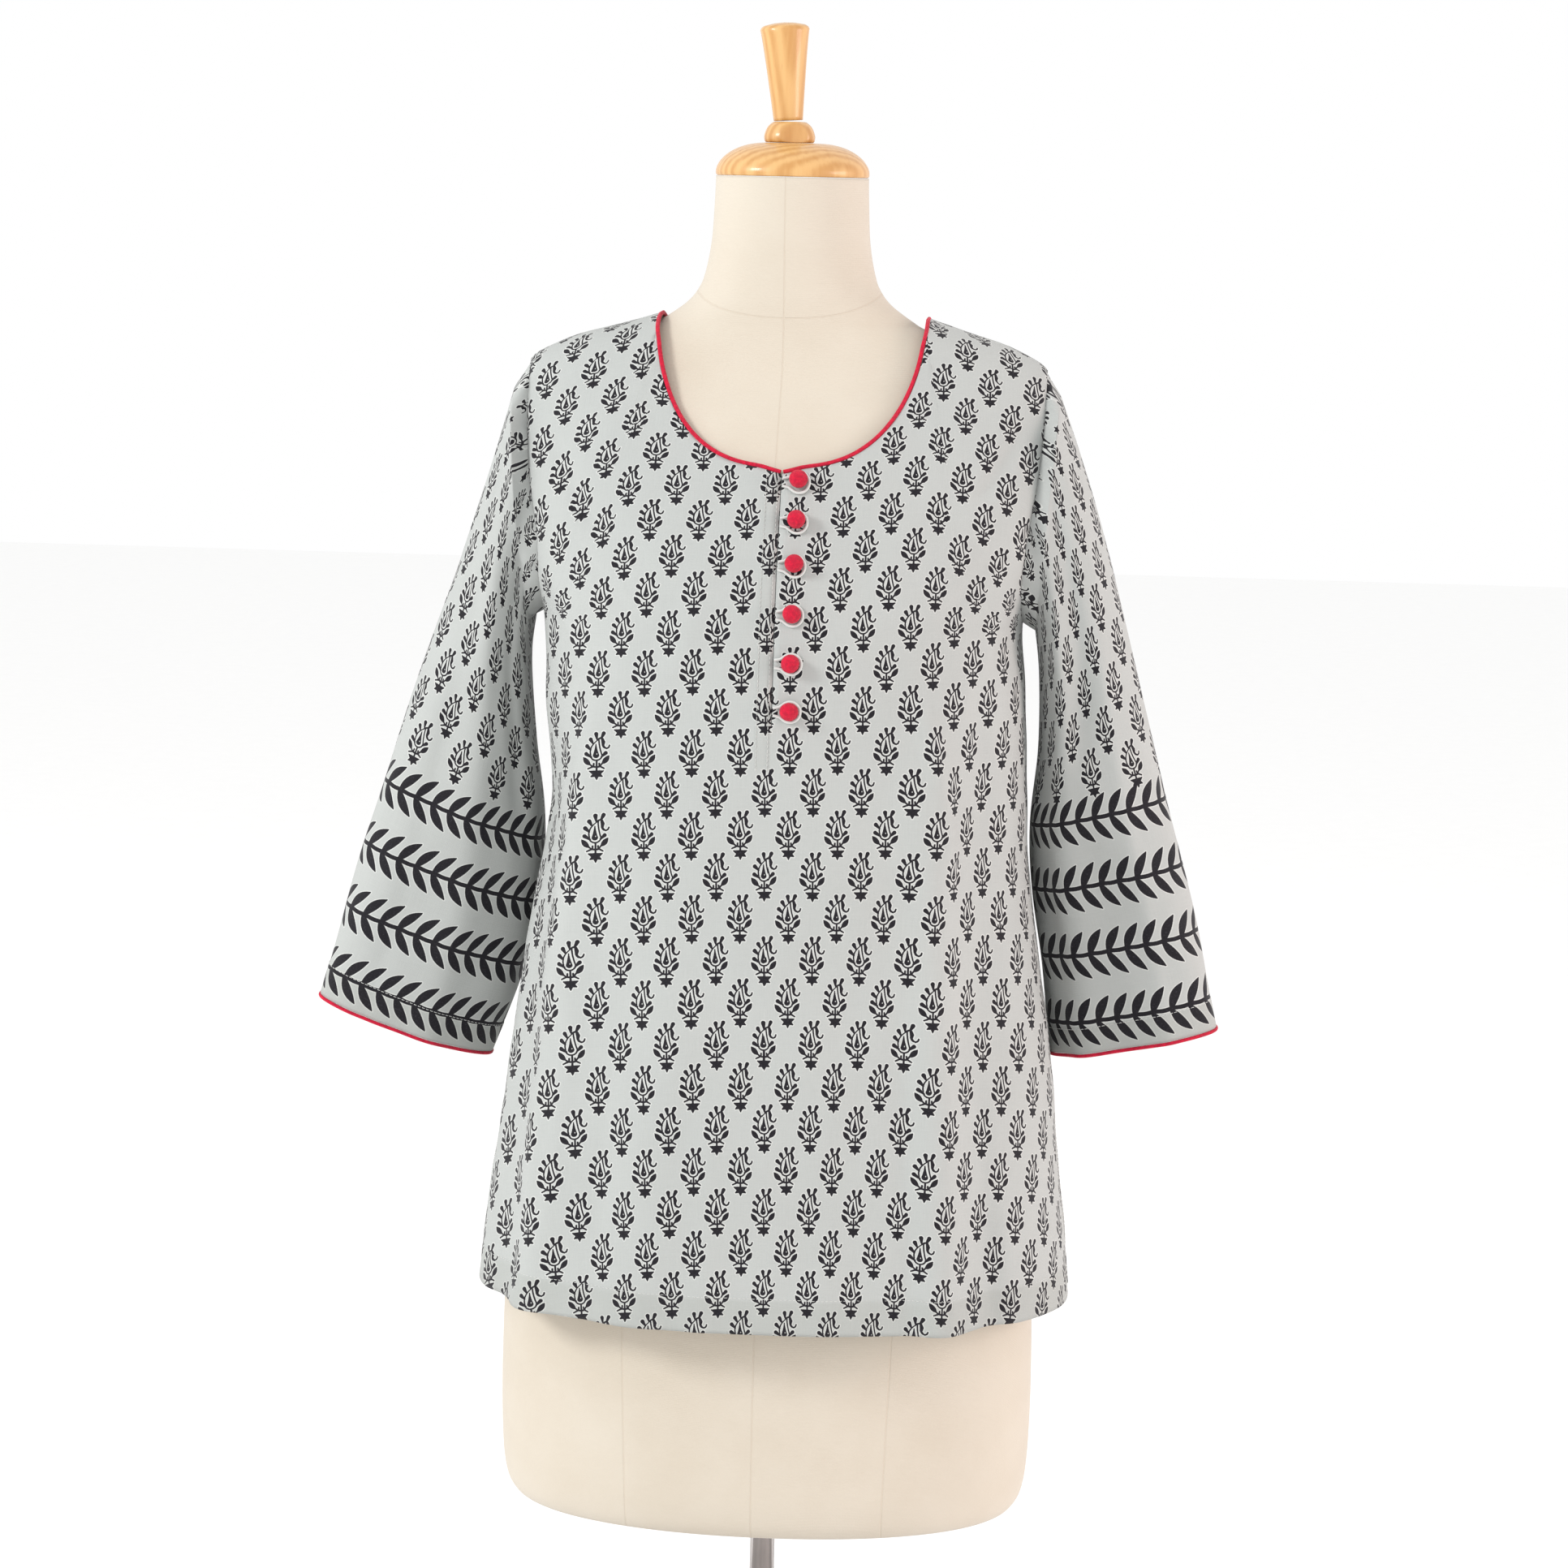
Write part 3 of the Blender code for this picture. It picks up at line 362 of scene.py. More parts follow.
@dataclass(frozen=True)
class Vine:
    """The leafy border printed in rows round each sleeve, in millimetres."""

    rows: tuple[float, ...] = (21.0, 68.5, 115.5, 163.0)
    pitch: float = 13.4
    stem: float = 1.35
    wave: float = 0.22
    drift: float = 4.7
    lead: float = 2.0
    leaves: tuple[Stroke, ...] = (
        Stroke(0.2, 0.3, 12.0, 16.8, 1.1, 0.3, 2.35, -1.2),
        Stroke(-0.3, -0.3, 14.0, -15.2, 1.1, 0.3, 2.4, 1.2),
    )

    def distance(self, graph: Graph, place: Signal) -> Signal:
        """Return how far a place lies outside the printed border."""
        x, y, _ = graph.split(place)
        step = (self.rows[-1] - self.rows[0]) / (len(self.rows) - 1)
        row = ((y - self.rows[0]) / step).math("ROUND")
        row = row.math("MAXIMUM", 0.0).math("MINIMUM", len(self.rows) - 1.0)
        up = y - row * step - self.rows[0]
        shifted = x + row * self.drift + self.lead
        along = shifted.math("FLOORED_MODULO", self.pitch) - self.lead
        spot = graph.combine(along, up)
        before = graph.combine(along + self.pitch, up)
        leaves = nearest(graph, spot, self.leaves).math("MINIMUM", nearest(graph, before, self.leaves))
        ripple = (shifted * (math.tau / self.pitch)).math("SINE") * self.wave
        return leaves.math("MINIMUM", abs(up - ripple) - self.stem)


@dataclass(frozen=True)
class PrintedCotton(Finish):
    """Light grey-green cotton, block printed in near black; paler on its inside."""

    origin: tuple[float, float] = (0.0, 0.0)
    vine: Vine | None = None
    reverse: bool = False
    cloth: Triple = (0.425, 0.442, 0.430)
    pale: Triple = (0.62, 0.63, 0.61)
    ink: Triple = (0.0035, 0.0028, 0.0060)
    thin_ink: Triple = (0.024, 0.021, 0.030)
    block: Block = Block()
    spread: float = 0.23
    thread: float = 0.00034
    far: float = 9.0
    border_end: float = 20.0
    sprig_start: float = 24.0
    mapping = "UV"

    def printed(self, graph: Graph, uv: Signal) -> Signal:
        """Return how far a place on the cloth lies outside the print, in millimetres."""
        place = graph.vector("MULTIPLY_ADD", uv, (MILLIMETRES,) * 3,
                             (-self.origin[0] * MILLIMETRES, -self.origin[1] * MILLIMETRES, 0.0))
        spot, middle = self.block.cell(graph, place)
        shape = self.block.distance(graph, spot)
        if self.vine is not None:
            whole = graph.vector("MULTIPLY", uv, (MILLIMETRES,) * 3)
            row = graph.split(middle)[1] + self.origin[1] * MILLIMETRES
            above = row.math("GREATER_THAN", self.vine.rows[-1] + self.sprig_start)
            height = graph.split(whole)[1]
            outside = 1.0 - above
            border = self.vine.distance(graph, whole)
            past = height.math("GREATER_THAN", self.vine.rows[-1] + self.border_end)
            border = border + past * self.far
            shape = (shape + outside * self.far).math("MINIMUM", border)
        return shape

    def paint(self, graph: Graph, place: Signal) -> None:
        """Build the cloth with its print, weave and slubs."""
        ragged = graph.noise(place, 1500.0, 2.0, 0.6)
        edge = self.printed(graph, place) + (ragged - 0.5) * 0.42 - self.spread
        inked = 1.0 - edge.ramp(-0.16, 0.16)
        halo = (1.0 - edge.ramp(0.25, 1.0)) * 0.75

        stretched = graph.vector("MULTIPLY", place, (75.0, 1900.0, 1.0))
        upright = graph.vector("MULTIPLY", place, (1900.0, 60.0, 1.0))
        slubs = graph.noise(stretched, 1.0, 2.0) + graph.noise(upright, 1.0, 2.0) - 1.0
        patches = graph.noise(place, 9.0, 3.0) - 0.5
        shade = graph.mix((slubs * 0.9 + patches * 0.9 + 0.5).clamped(),
                          tuple(0.94 * part for part in self.cloth),
                          tuple(min(1.0, 1.05 * part) for part in self.cloth))
        shade = graph.mix(halo, shade, self.pale)
        double = graph.node("ShaderNodeAttribute", {"attribute_name": "doubled"}, None, "Fac")
        shade = graph.mix(double * 0.45, shade, (0.80, 0.80, 0.77), "MULTIPLY")
        mottle = graph.noise(place, 700.0, 3.0, 0.6).ramp(0.50, 0.78)
        ink = graph.mix(mottle, self.ink, self.thin_ink)
        if self.reverse:
            inked = inked * 0.20
            shade = graph.mix(0.35, shade, (0.52, 0.47, 0.43))
        colour = graph.mix(inked, shade, ink)

        threads = graph.vector("MULTIPLY", place, (math.pi / self.thread,) * 3)
        warp, weft, _ = graph.split(threads)
        weave = (warp.math("SINE") * weft.math("SINE")) * 0.5 + 0.5
        surface = weave * 0.4 + slubs * 0.6
        graph.shade(colour, 0.86 - inked * 0.16, graph.bump(surface, 0.00016),
                    {"Specular IOR Level": 0.25, "Sheen Weight": 0.12, "Sheen Roughness": 0.5})


@dataclass(frozen=True)
class RedSilk(Finish):
    """Crimson cloth of the piping and the covered buttons."""

    name: str = "red_silk_cloth"
    colour: Triple = (0.76, 0.008, 0.046)
    shadow: Triple = (0.54, 0.006, 0.038)
    thread: float = 0.00022

    def paint(self, graph: Graph, place: Signal) -> None:
        """Build the cloth with its fine weave."""
        cloudy = graph.noise(place, 420.0, 3.0, 0.6)
        x, y, z = graph.split(graph.vector("MULTIPLY", place, (math.tau / self.thread,) * 3))
        weave = (x + y).math("SINE") * z.math("SINE")
        colour = graph.mix(cloudy.ramp(0.35, 0.68), self.shadow, self.colour)
        surface = weave * 0.3 + cloudy * 0.7
        graph.shade(colour, 0.50 + cloudy * 0.16, graph.bump(surface, 0.00022),
                    {"Specular IOR Level": 0.25, "Sheen Weight": 0.08, "Sheen Roughness": 0.35})


@dataclass(frozen=True)
class CreamJersey(Finish):
    """Cream knitted cover stretched over the dress form, with its seams."""

    name: str = "cream_jersey_cover"
    colour: Triple = (0.595, 0.540, 0.455)
    worn: Triple = (0.560, 0.500, 0.412)
    seam_shade: Triple = (0.50, 0.415, 0.32)
    stitch: float = 0.0009
    hip_seam: float = 0.0935
    neck_seam_z: float = 1.062
    seam: float = 0.0005

    def paint(self, graph: Graph, place: Signal) -> None:
        """Build the knit with faint clouding."""
        cloudy = graph.noise(place, 14.0, 4.0, 0.55)
        fibres = graph.noise(place, 900.0, 2.0, 0.6)
        x, y, z = graph.split(place)
        rounded = (y * -22.0).clamped()
        neck = abs(z + rounded * rounded * 0.020 - self.neck_seam_z)
        hip = abs(abs(x) - self.hip_seam + (0.36 - z) * 0.03) + z.math("GREATER_THAN", 0.95)
        line = abs(x + 0.0006).math("MINIMUM", neck).math("MINIMUM", hip)
        side = abs(y) + abs(x).math("LESS_THAN", 0.04)
        sunk = 1.0 - line.math("MINIMUM", side).ramp(self.seam * 0.4, self.seam * 1.8)
        courses = (z * (math.tau / self.stitch)).math("SINE") * 0.5 + 0.5
        colour = graph.mix((cloudy * 0.8 + fibres * 0.25).ramp(0.30, 0.72), self.worn, self.colour)
        colour = graph.mix(sunk * 0.26, colour, self.seam_shade)
        surface = courses * 0.25 + fibres * 0.45 - sunk
        graph.shade(colour, 0.80 + fibres * 0.12, graph.bump(surface, 0.00018),
                    {"Specular IOR Level": 0.22, "Sheen Weight": 0.18, "Sheen Roughness": 0.6})


@dataclass(frozen=True)
class HoneyWood(Finish):
    """Turned honey-coloured wood under satin varnish."""

    name: str = "honey_wood_turned"
    pale: Triple = (0.68, 0.405, 0.155)
    deep: Triple = (0.53, 0.265, 0.075)
    pore: Triple = (0.40, 0.19, 0.055)

    def paint(self, graph: Graph, place: Signal) -> None:
        """Build the grain, its growth rings and pores."""
        bent = graph.noise(graph.vector("MULTIPLY", place, (18.0, 18.0, 5.0)), 1.0, 2.0)
        x, y, _ = graph.split(place)
        off = ((x + 0.031) * (x + 0.031) + (y - 0.052) * (y - 0.052)).math("SQRT")
        rings = ((off * 330.0 + bent * 5.5) * (math.tau / 1.9)).math("SINE") * 0.5 + 0.5
        drawn = graph.vector("MULTIPLY", place, (700.0, 700.0, 32.0))
        pores = graph.noise(drawn, 1.0, 3.0, 0.6)
        fine = graph.noise(graph.vector("MULTIPLY", place, (260.0, 260.0, 14.0)), 1.0, 2.0)
        base = graph.mix((rings * 0.45 + fine * 0.65).ramp(0.22, 0.95), self.pale, self.deep)
        colour = graph.mix(pores.ramp(0.60, 0.82) * 0.55, base, self.pore)
        graph.shade(colour, 0.34 + fine * 0.18, graph.bump(pores, 0.00012, 0.6),
                    {"Coat Weight": 0.45, "Coat Roughness": 0.16, "Specular IOR Level": 0.45})


@dataclass(frozen=True)
class BrightSteel(Finish):
    """Polished chromed tube with faint polishing marks."""

    name: str = "bright_steel_tube"
    colour: Triple = (0.72, 0.68, 0.67)

    def paint(self, graph: Graph, place: Signal) -> None:
        """Build the polish and its marks."""
        marks = graph.noise(graph.vector("MULTIPLY", place, (900.0, 900.0, 12.0)), 1.0, 2.0)
        haze = graph.noise(place, 38.0, 3.0)
        dull = tuple(0.86 * part for part in self.colour)
        graph.shade(graph.mix(haze.ramp(0.4, 0.7), self.colour, dull), 0.10 + marks * 0.10 + haze * 0.05,
                    graph.bump(marks, 0.00002, 0.5), {"Metallic": 1.0})


@dataclass(frozen=True)
class GreyEnamel(Finish):
    """Satin enamel of the round base, lightly rubbed."""

    name: str = "grey_enamel_base"
    colour: Triple = (0.30, 0.29, 0.28)
    rubbed: Triple = (0.40, 0.39, 0.38)

    def paint(self, graph: Graph, place: Signal) -> None:
        """Build the enamel's skin and rubbed patches."""
        skin = graph.noise(place, 520.0, 2.0)
        patches = graph.noise(place, 16.0, 4.0, 0.6)
        colour = graph.mix(patches.ramp(0.45, 0.75), self.colour, self.rubbed)
        graph.shade(colour, 0.36 + patches * 0.22, graph.bump(skin, 0.00012), {"Specular IOR Level": 0.4})


@dataclass(frozen=True)
class PlainPaint(Finish):
    """Even colour of the studio floor and of the sewing thread."""

    colour: Triple
    roughness: float
    grain: float

    def paint(self, graph: Graph, place: Signal) -> None:
        """Build the colour with a faint grain."""
        grain = graph.noise(place, self.grain, 2.0)
        darker = tuple(0.97 * part for part in self.colour)
        graph.shade(graph.mix(grain, darker, self.colour), self.roughness, None,
                    {"Specular IOR Level": 0.2})


# Meshes


def smooth_step(value: Array) -> Array:
    """Rise softly from 0 to 1 as the value goes from 0 to 1."""
    value = np.clip(value, 0.0, 1.0)
    return value * value * (3.0 - 2.0 * value)


def rounded(value: Array, power: float | Array) -> Array:
    """Return a sine or cosine drawn out to a superellipse of this power."""
    return np.sign(value) * np.abs(value) ** (2.0 / power)


def unit(vectors: Array) -> Array:
    """Return vectors with their length made one."""
    return vectors / np.linalg.norm(vectors, axis=-1, keepdims=True)


def running(steps: Array) -> Array:
    """Return the length up to each row, from the steps between the rows of each column."""
    return np.concatenate([np.zeros((len(steps), 1)), np.cumsum(steps, axis=1)], axis=1)


def link(name: str, data: bpy.types.ID) -> Piece:
    """Link a new object to the scene and return it."""
    item = bpy.data.objects.new(name, data)
    bpy.context.scene.collection.objects.link(item)
    return item


def settle(item: Piece, node: str | tuple[str, ...]) -> Piece:
    """Let a piece stand for its CAD node.

    Args:
        item: The finished piece.
        node: The node or nodes that it replaces; none for a piece of its own.

    Returns:
        The same piece.
    """
    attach(item, "root")
    nodes = (node,) if isinstance(node, str) else node
    if nodes:
        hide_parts(*nodes)
    LOG.info("%s: %d points", item.name, len(getattr(item.data, "vertices", ())))
    return item


def grid_faces(columns: int, rows: int, closed: bool,
               keep: Callable[[int, int], bool] | None = None) -> list[tuple[int, ...]]:
    """List the faces of a grid of points.

    Args:
        columns: The number of columns.
        rows: The number of points in each column.
        closed: Whether the last column joins the first one.
        keep: Says whether the face at a column and row is made.

    Returns:
        Four point numbers for each face.
    """
    faces = []
    for column in range(columns if closed else columns - 1):
        low, following = column * rows, (column + 1) % columns * rows
        for row in range(rows - 1):
            if keep is None or keep(column, row):
                faces.append((low + row, following + row, following + row + 1, low + row + 1))
    return faces


def solid_piece(name: str, points: list, faces: list, material: Material) -> Piece:
    """Make a smooth piece of one finish from its points and faces."""
    mesh = bpy.data.meshes.new(name)
    mesh.from_pydata(points, [], faces)
    mesh.materials.append(material)
    mesh.update()
    mesh.shade_smooth()
    return link(name, mesh)


def poly_curve(name: str, paths: list[Array], closed: bool = False) -> bpy.types.Curve:
    """Make a curve with straight steps along each path."""
    curve = bpy.data.curves.new(name, "CURVE")
    curve.dimensions = "3D"
    for path in paths:
        spline = curve.splines.new("POLY")
        spline.points.add(len(path) - 1)
        spline.use_cyclic_u = closed
        for target, point in zip(spline.points, path):
            target.co = (*point, 1.0)
    return curve


def quilt(name: str, points: Array, uv: Array, doubled: Array,
          keep: Callable[[int, int], bool] | None = None, closed: bool = False,
          turned: bool = False) -> Piece:
    """Make a sheet from a grid of points.

    Args:
        name: The piece's name.
        points: Points by column and row.
        uv: Places on the cloth by column and row, in metres.
        doubled: Where the cloth lies double, from 0 to 1, by column and row.
        keep: Says whether the face at a column and row is made.
        closed: Whether the last column joins the first one.
        turned: Whether the faces are turned over.

    Returns:
        The sheet, with a smooth surface and its UV map.
    """
    columns, rows = points.shape[:2]
    faces = grid_faces(columns, rows, closed, keep)
    if turned:
        faces = [face[::-1] for face in faces]
    mesh = bpy.data.meshes.new(name)
    mesh.from_pydata(points.reshape(-1, 3).tolist(), [], faces)
    layer = mesh.uv_layers.new(name="Cloth")
    corners = np.zeros(len(mesh.loops), dtype=np.int32)
    mesh.loops.foreach_get("vertex_index", corners)
    places = uv.reshape(-1, 2)[corners]
    if closed:
        last = np.repeat((corners.reshape(-1, 4) // rows).max(axis=1) == columns - 1, 4)
        wrap = last & ((corners // rows) == 0)
        places[wrap] = (2.0 * uv[-1] - uv[-2])[corners[wrap] % rows]
    layer.data.foreach_set("uv", places.astype(np.float32).ravel())
    double = mesh.attributes.new("doubled", "FLOAT", "POINT")
    double.data.foreach_set("value", doubled.astype(np.float32).ravel())
    mesh.shade_smooth()
    mesh.update()
    return link(name, mesh)


def add_wall(item: Piece, outside: Material,
             inside: Material, wall: float = WALL) -> None:
    """Give a sheet its two finishes and its wall, on the side away from its normals."""
    item.data.materials.append(outside)
    item.data.materials.append(inside)
    solid = item.modifiers.new("Wall", "SOLIDIFY")
    solid.thickness = wall
    solid.offset = -1.0
    solid.use_rim = True
    solid.material_offset = 1


def tube(name: str, path: Array, radius: float, material: Material,
         closed: bool = False, sides: int = 10) -> Piece:
    """Make a round tube along a path.

    Args:
        name: The piece's name.
        path: The points of its middle.
        radius: The tube's radius.
        material: Its finish.
        closed: Whether it joins its own start.
        sides: The number of its sides.

    Returns:
        The tube as a mesh.
    """
    curve = poly_curve(name, [path], closed)
    curve.bevel_depth = radius
    curve.bevel_resolution = sides // 4
    curve.use_fill_caps = not closed
    carrier = bpy.data.objects.new(name, curve)
    mesh = bpy.data.meshes.new_from_object(carrier)
    bpy.data.objects.remove(carrier)
    bpy.data.curves.remove(curve)
    mesh.name = name
    mesh.materials.clear()
    mesh.materials.append(material)
    mesh.shade_smooth()
    return link(name, mesh)


def turned_piece(name: str, profile: Array, place: Triple,
                 material: Material, sides: int = 96, lean: float = 0.0) -> Piece:
    """Turn a profile about a vertical axis.

    Args:
        name: The piece's name.
        profile: Rows of radius and height from the top middle to the bottom middle.
        place: Where the axis stands.
        material: The finish.
        sides: The number of steps round.
        lean: How far the piece leans about Y, in radians.

    Returns:
        The closed piece.
    """
    angles = np.linspace(0.0, math.tau, sides, endpoint=False)
    ring = profile[1:-1]
    points = [(0.0, 0.0, float(profile[0][1])), (0.0, 0.0, float(profile[-1][1]))]
    for radius, height in ring:
        points += [(radius * math.cos(angle), radius * math.sin(angle), height) for angle in angles]
    faces = []
    for index in range(sides):
        following = (index + 1) % sides
        faces.append((0, 2 + index, 2 + following))
        last = 2 + (len(ring) - 1) * sides
        faces.append((1, last + following, last + index))
        for row in range(len(ring) - 1):
            low = 2 + row * sides
            faces.append((low + index, low + sides + index, low + sides + following, low + following))
    turn = Matrix.Translation(place) @ Matrix.Rotation(lean, 4, "Y")
    return solid_piece(name, [tuple(turn @ Vector(point)) for point in points], faces, material)


class Seamstress:
    """Sews rows of stitches with Geometry Nodes."""

    def __init__(self, thread: Material) -> None:
        """Keep the thread and the sizes of a stitch."""
        self.thread = thread
        self.sizes = {"Pitch": 0.0031, "Length": 0.0021, "Radius": 0.00021}
        self.sink = -0.12
        self.rows: list[Array] = []

    def row(self, path: Array) -> None:
        """Add a row of stitches along a path."""
        self.rows.append(path)

    def group(self) -> bpy.types.GeometryNodeTree:
        """Build the tree that lays one stitch at each step of a curve.

        Returns:
            The node tree, with the pitch, length and radius as its named inputs.
        """
        tree = bpy.data.node_groups.new("Stitch rows", "GeometryNodeTree")
        face = tree.interface
        face.new_socket("Geometry", in_out="INPUT", socket_type="NodeSocketGeometry")
        for name in self.sizes:
            face.new_socket(name, in_out="INPUT", socket_type="NodeSocketFloat")
        face.new_socket("Geometry", in_out="OUTPUT", socket_type="NodeSocketGeometry")
        given = tree.nodes.new("NodeGroupInput").outputs
        graph = Graph(tree)
        rows, pitch, length, radius = (Signal(graph, socket) for socket in list(given)[:4])
        spaced = graph.node("GeometryNodeResampleCurve", {"mode": "LENGTH"},
                            {"Curve": rows, "Length": pitch})
        stitch = graph.node("GeometryNodeMeshCylinder", None, {
            "Vertices": 6, "Side Segments": 2, "Depth": length, "Radius": radius}, "Mesh")
        along = graph.split(graph.node("GeometryNodeInputPosition"))[2]
        bent = graph.node("GeometryNodeSetPosition", None, {
            "Geometry": stitch, "Offset": graph.combine(abs(along) * self.sink, 0.0)})
        turn = graph.node("FunctionNodeAlignEulerToVector", {"axis": "Z"},
                          {"Vector": graph.node("GeometryNodeInputTangent")})
        laid = graph.node("GeometryNodeInstanceOnPoints", None, {
            "Points": spaced, "Instance": bent, "Rotation": turn})
        real = graph.node("GeometryNodeRealizeInstances", None, {"Geometry": laid})
        dressed = graph.node("GeometryNodeSetMaterial", None, {
            "Geometry": real, "Material": self.thread})
        tree.links.new(dressed.socket, tree.nodes.new("NodeGroupOutput").inputs["Geometry"])
        return tree

    def sew(self) -> Piece:
        """Lay every row's stitches and return them as one plain mesh."""
        carrier = link("stitch_paths", poly_curve("stitch_paths", self.rows))
        laid = carrier.modifiers.new("Stitches", "NODES")
        laid.node_group = self.group()
        for socket in laid.node_group.interface.items_tree:
            if socket.in_out == "INPUT" and socket.name in self.sizes:
                laid[socket.identifier] = self.sizes[socket.name]
        graph = bpy.context.evaluated_depsgraph_get()
        mesh = bpy.data.meshes.new_from_object(carrier.evaluated_get(graph))
        bpy.data.objects.remove(carrier)
        mesh.name = "stitching"
        mesh.shade_smooth()
        return settle(link("stitching", mesh), ())


@dataclass(frozen=True)
class Table:
    """Sizes in named columns, a row for each level; the first column is the place."""

    columns: tuple[str, ...]
    rows: tuple[tuple[float, ...], ...]

    def read(self, column: str, place: Array) -> Array:
        """Read one column on the smooth curve through its rows.

        Args:
            column: The column's name.
            place: The places to read at.

        Returns:
            The sizes there.
        """
        places = np.array([row[0] for row in self.rows])
        values = np.array([row[self.columns.index(column)] for row in self.rows])
        low = np.maximum(np.arange(len(places)) - 1, 0)
        high = np.minimum(np.arange(len(places)) + 1, len(places) - 1)
        slopes = (values[high] - values[low]) / (places[high] - places[low])
        place = np.clip(place, places[0], places[-1])
        index = np.clip(np.searchsorted(places, place, side="right") - 1, 0, len(places) - 2)
        span = places[index + 1] - places[index]
        part = (place - places[index]) / span
        start = (1.0 + 2.0 * part) * (1.0 - part) ** 2 * values[index]
        end = part * part * (3.0 - 2.0 * part) * values[index + 1]
        bend = part * (1.0 - part) ** 2 * slopes[index]
        bend -= part * part * (1.0 - part) * slopes[index + 1]
        return start + end + bend * span


@dataclass(frozen=True)
class Fold:
    """A soft ridge (depth above 0) or trough that runs down a panel."""

    top_x: float
    top_z: float
    foot_x: float
    foot_z: float
    width: float
    depth: float


# The folds and, after them, the fine creases of each panel, in metres
FOLDS = {
    Face.FRONT: (
        (-0.118, 0.830, -0.160, 0.330, 0.017, 0.0055), (-0.146, 0.820, -0.187, 0.330, 0.013, -0.0050),
        (-0.060, 0.640, -0.078, 0.330, 0.024, 0.0025), (0.064, 0.640, 0.074, 0.330, 0.022, -0.0022),
        (0.104, 0.830, 0.128, 0.330, 0.017, 0.0060), (0.140, 0.830, 0.166, 0.330, 0.016, -0.0060),
        (-0.168, 0.975, -0.118, 0.895, 0.008, -0.0030), (0.172, 0.985, 0.132, 0.920, 0.008, -0.0030),
        (-0.152, 0.912, -0.094, 0.846, 0.0055, -0.0012), (-0.160, 0.878, -0.116, 0.788, 0.0060, 0.0013),
        (-0.128, 0.800, -0.142, 0.655, 0.0060, -0.0014), (-0.100, 0.560, -0.118, 0.330, 0.0090, -0.0014),
        (-0.030, 0.540, -0.036, 0.330, 0.0120, 0.0012), (0.030, 0.500, 0.034, 0.330, 0.0120, -0.0010),
        (0.092, 0.620, 0.110, 0.330, 0.0100, -0.0015), (0.150, 0.600, 0.180, 0.330, 0.0080, 0.0020),
        (-0.170, 0.660, -0.196, 0.330, 0.0070, 0.0020), (-0.134, 0.610, -0.150, 0.410, 0.0060, -0.0012),
        (0.101, 0.806, 0.127, 0.672, 0.0070, 0.0018), (0.134, 0.840, 0.155, 0.690, 0.0060, -0.0018),
        (0.156, 0.905, 0.108, 0.838, 0.0060, -0.0012), (0.162, 0.872, 0.126, 0.776, 0.0065, 0.0014),
        (-0.040, 0.905, -0.064, 0.800, 0.0100, 0.0007), (0.052, 0.895, 0.078, 0.800, 0.0110, -0.0007),
    ),
    Face.BACK: (
        (-0.110, 0.860, -0.142, 0.330, 0.018, 0.0055), (-0.064, 0.760, -0.084, 0.330, 0.020, -0.0035),
        (0.012, 0.720, 0.020, 0.330, 0.024, 0.0035), (0.078, 0.800, 0.100, 0.330, 0.020, -0.0040),
        (0.120, 0.860, 0.152, 0.330, 0.018, 0.0050), (-0.150, 0.930, -0.100, 0.850, 0.0070, -0.0014),
        (0.152, 0.925, 0.104, 0.840, 0.0070, -0.0014), (-0.140, 0.640, -0.170, 0.330, 0.0080, -0.0018),
        (-0.030, 0.600, -0.038, 0.330, 0.0110, 0.0014), (0.052, 0.610, 0.062, 0.330, 0.0100, 0.0014),
        (0.142, 0.650, 0.176, 0.330, 0.0080, -0.0018), (-0.088, 0.800, -0.100, 0.640, 0.0080, 0.0012),
        (0.096, 0.820, 0.104, 0.660, 0.0080, -0.0012),
    ),
}


@dataclass(frozen=True)
class SleeveFold:
    """A soft ridge or trough along a sleeve: angles in degrees, places as parts of its length."""

    angle: float
    end_angle: float
    start: float
    end: float
    width: float
    depth: float


# Sections from the shoulder to the cuff: outer x, z, y, inner x, z, y and half depth, in metres
SLEEVE_SECTIONS = {
    Side.LEFT: (
        (0.1885, 0.9930, 0.000, 0.1745, 0.8330, 0.002, 0.0560),
        (0.2095, 0.9220, 0.000, 0.1775, 0.8080, 0.006, 0.0530),
        (0.2250, 0.8760, 0.001, 0.1775, 0.7780, 0.012, 0.0500),
        (0.2395, 0.8355, 0.002, 0.1750, 0.7420, 0.020, 0.0475),
        (0.2650, 0.7600, 0.004, 0.1700, 0.6870, 0.034, 0.0440),
        (0.2870, 0.6900, 0.006, 0.1725, 0.6280, 0.044, 0.0410),
        (0.3045, 0.6310, 0.007, 0.1830, 0.5760, 0.044, 0.0380),
        (0.3245, 0.5590, 0.007, 0.2060, 0.5140, 0.038, 0.0350),
    ),
    Side.RIGHT: (
        (0.1880, 0.9950, 0.000, 0.1755, 0.8330, 0.002, 0.0560),
        (0.2080, 0.9420, 0.000, 0.1790, 0.8060, 0.006, 0.0530),
        (0.2225, 0.8950, 0.001, 0.1800, 0.7760, 0.012, 0.0500),
        (0.2350, 0.8520, 0.002, 0.1800, 0.7440, 0.018, 0.0475),
        (0.2570, 0.7660, 0.004, 0.1755, 0.6950, 0.028, 0.0440),
        (0.2750, 0.7010, 0.006, 0.1785, 0.6460, 0.036, 0.0410),
        (0.2955, 0.6250, 0.007, 0.1872, 0.5880, 0.038, 0.0380),
        (0.3110, 0.5580, 0.007, 0.1955, 0.5300, 0.036, 0.0350),
    ),
}
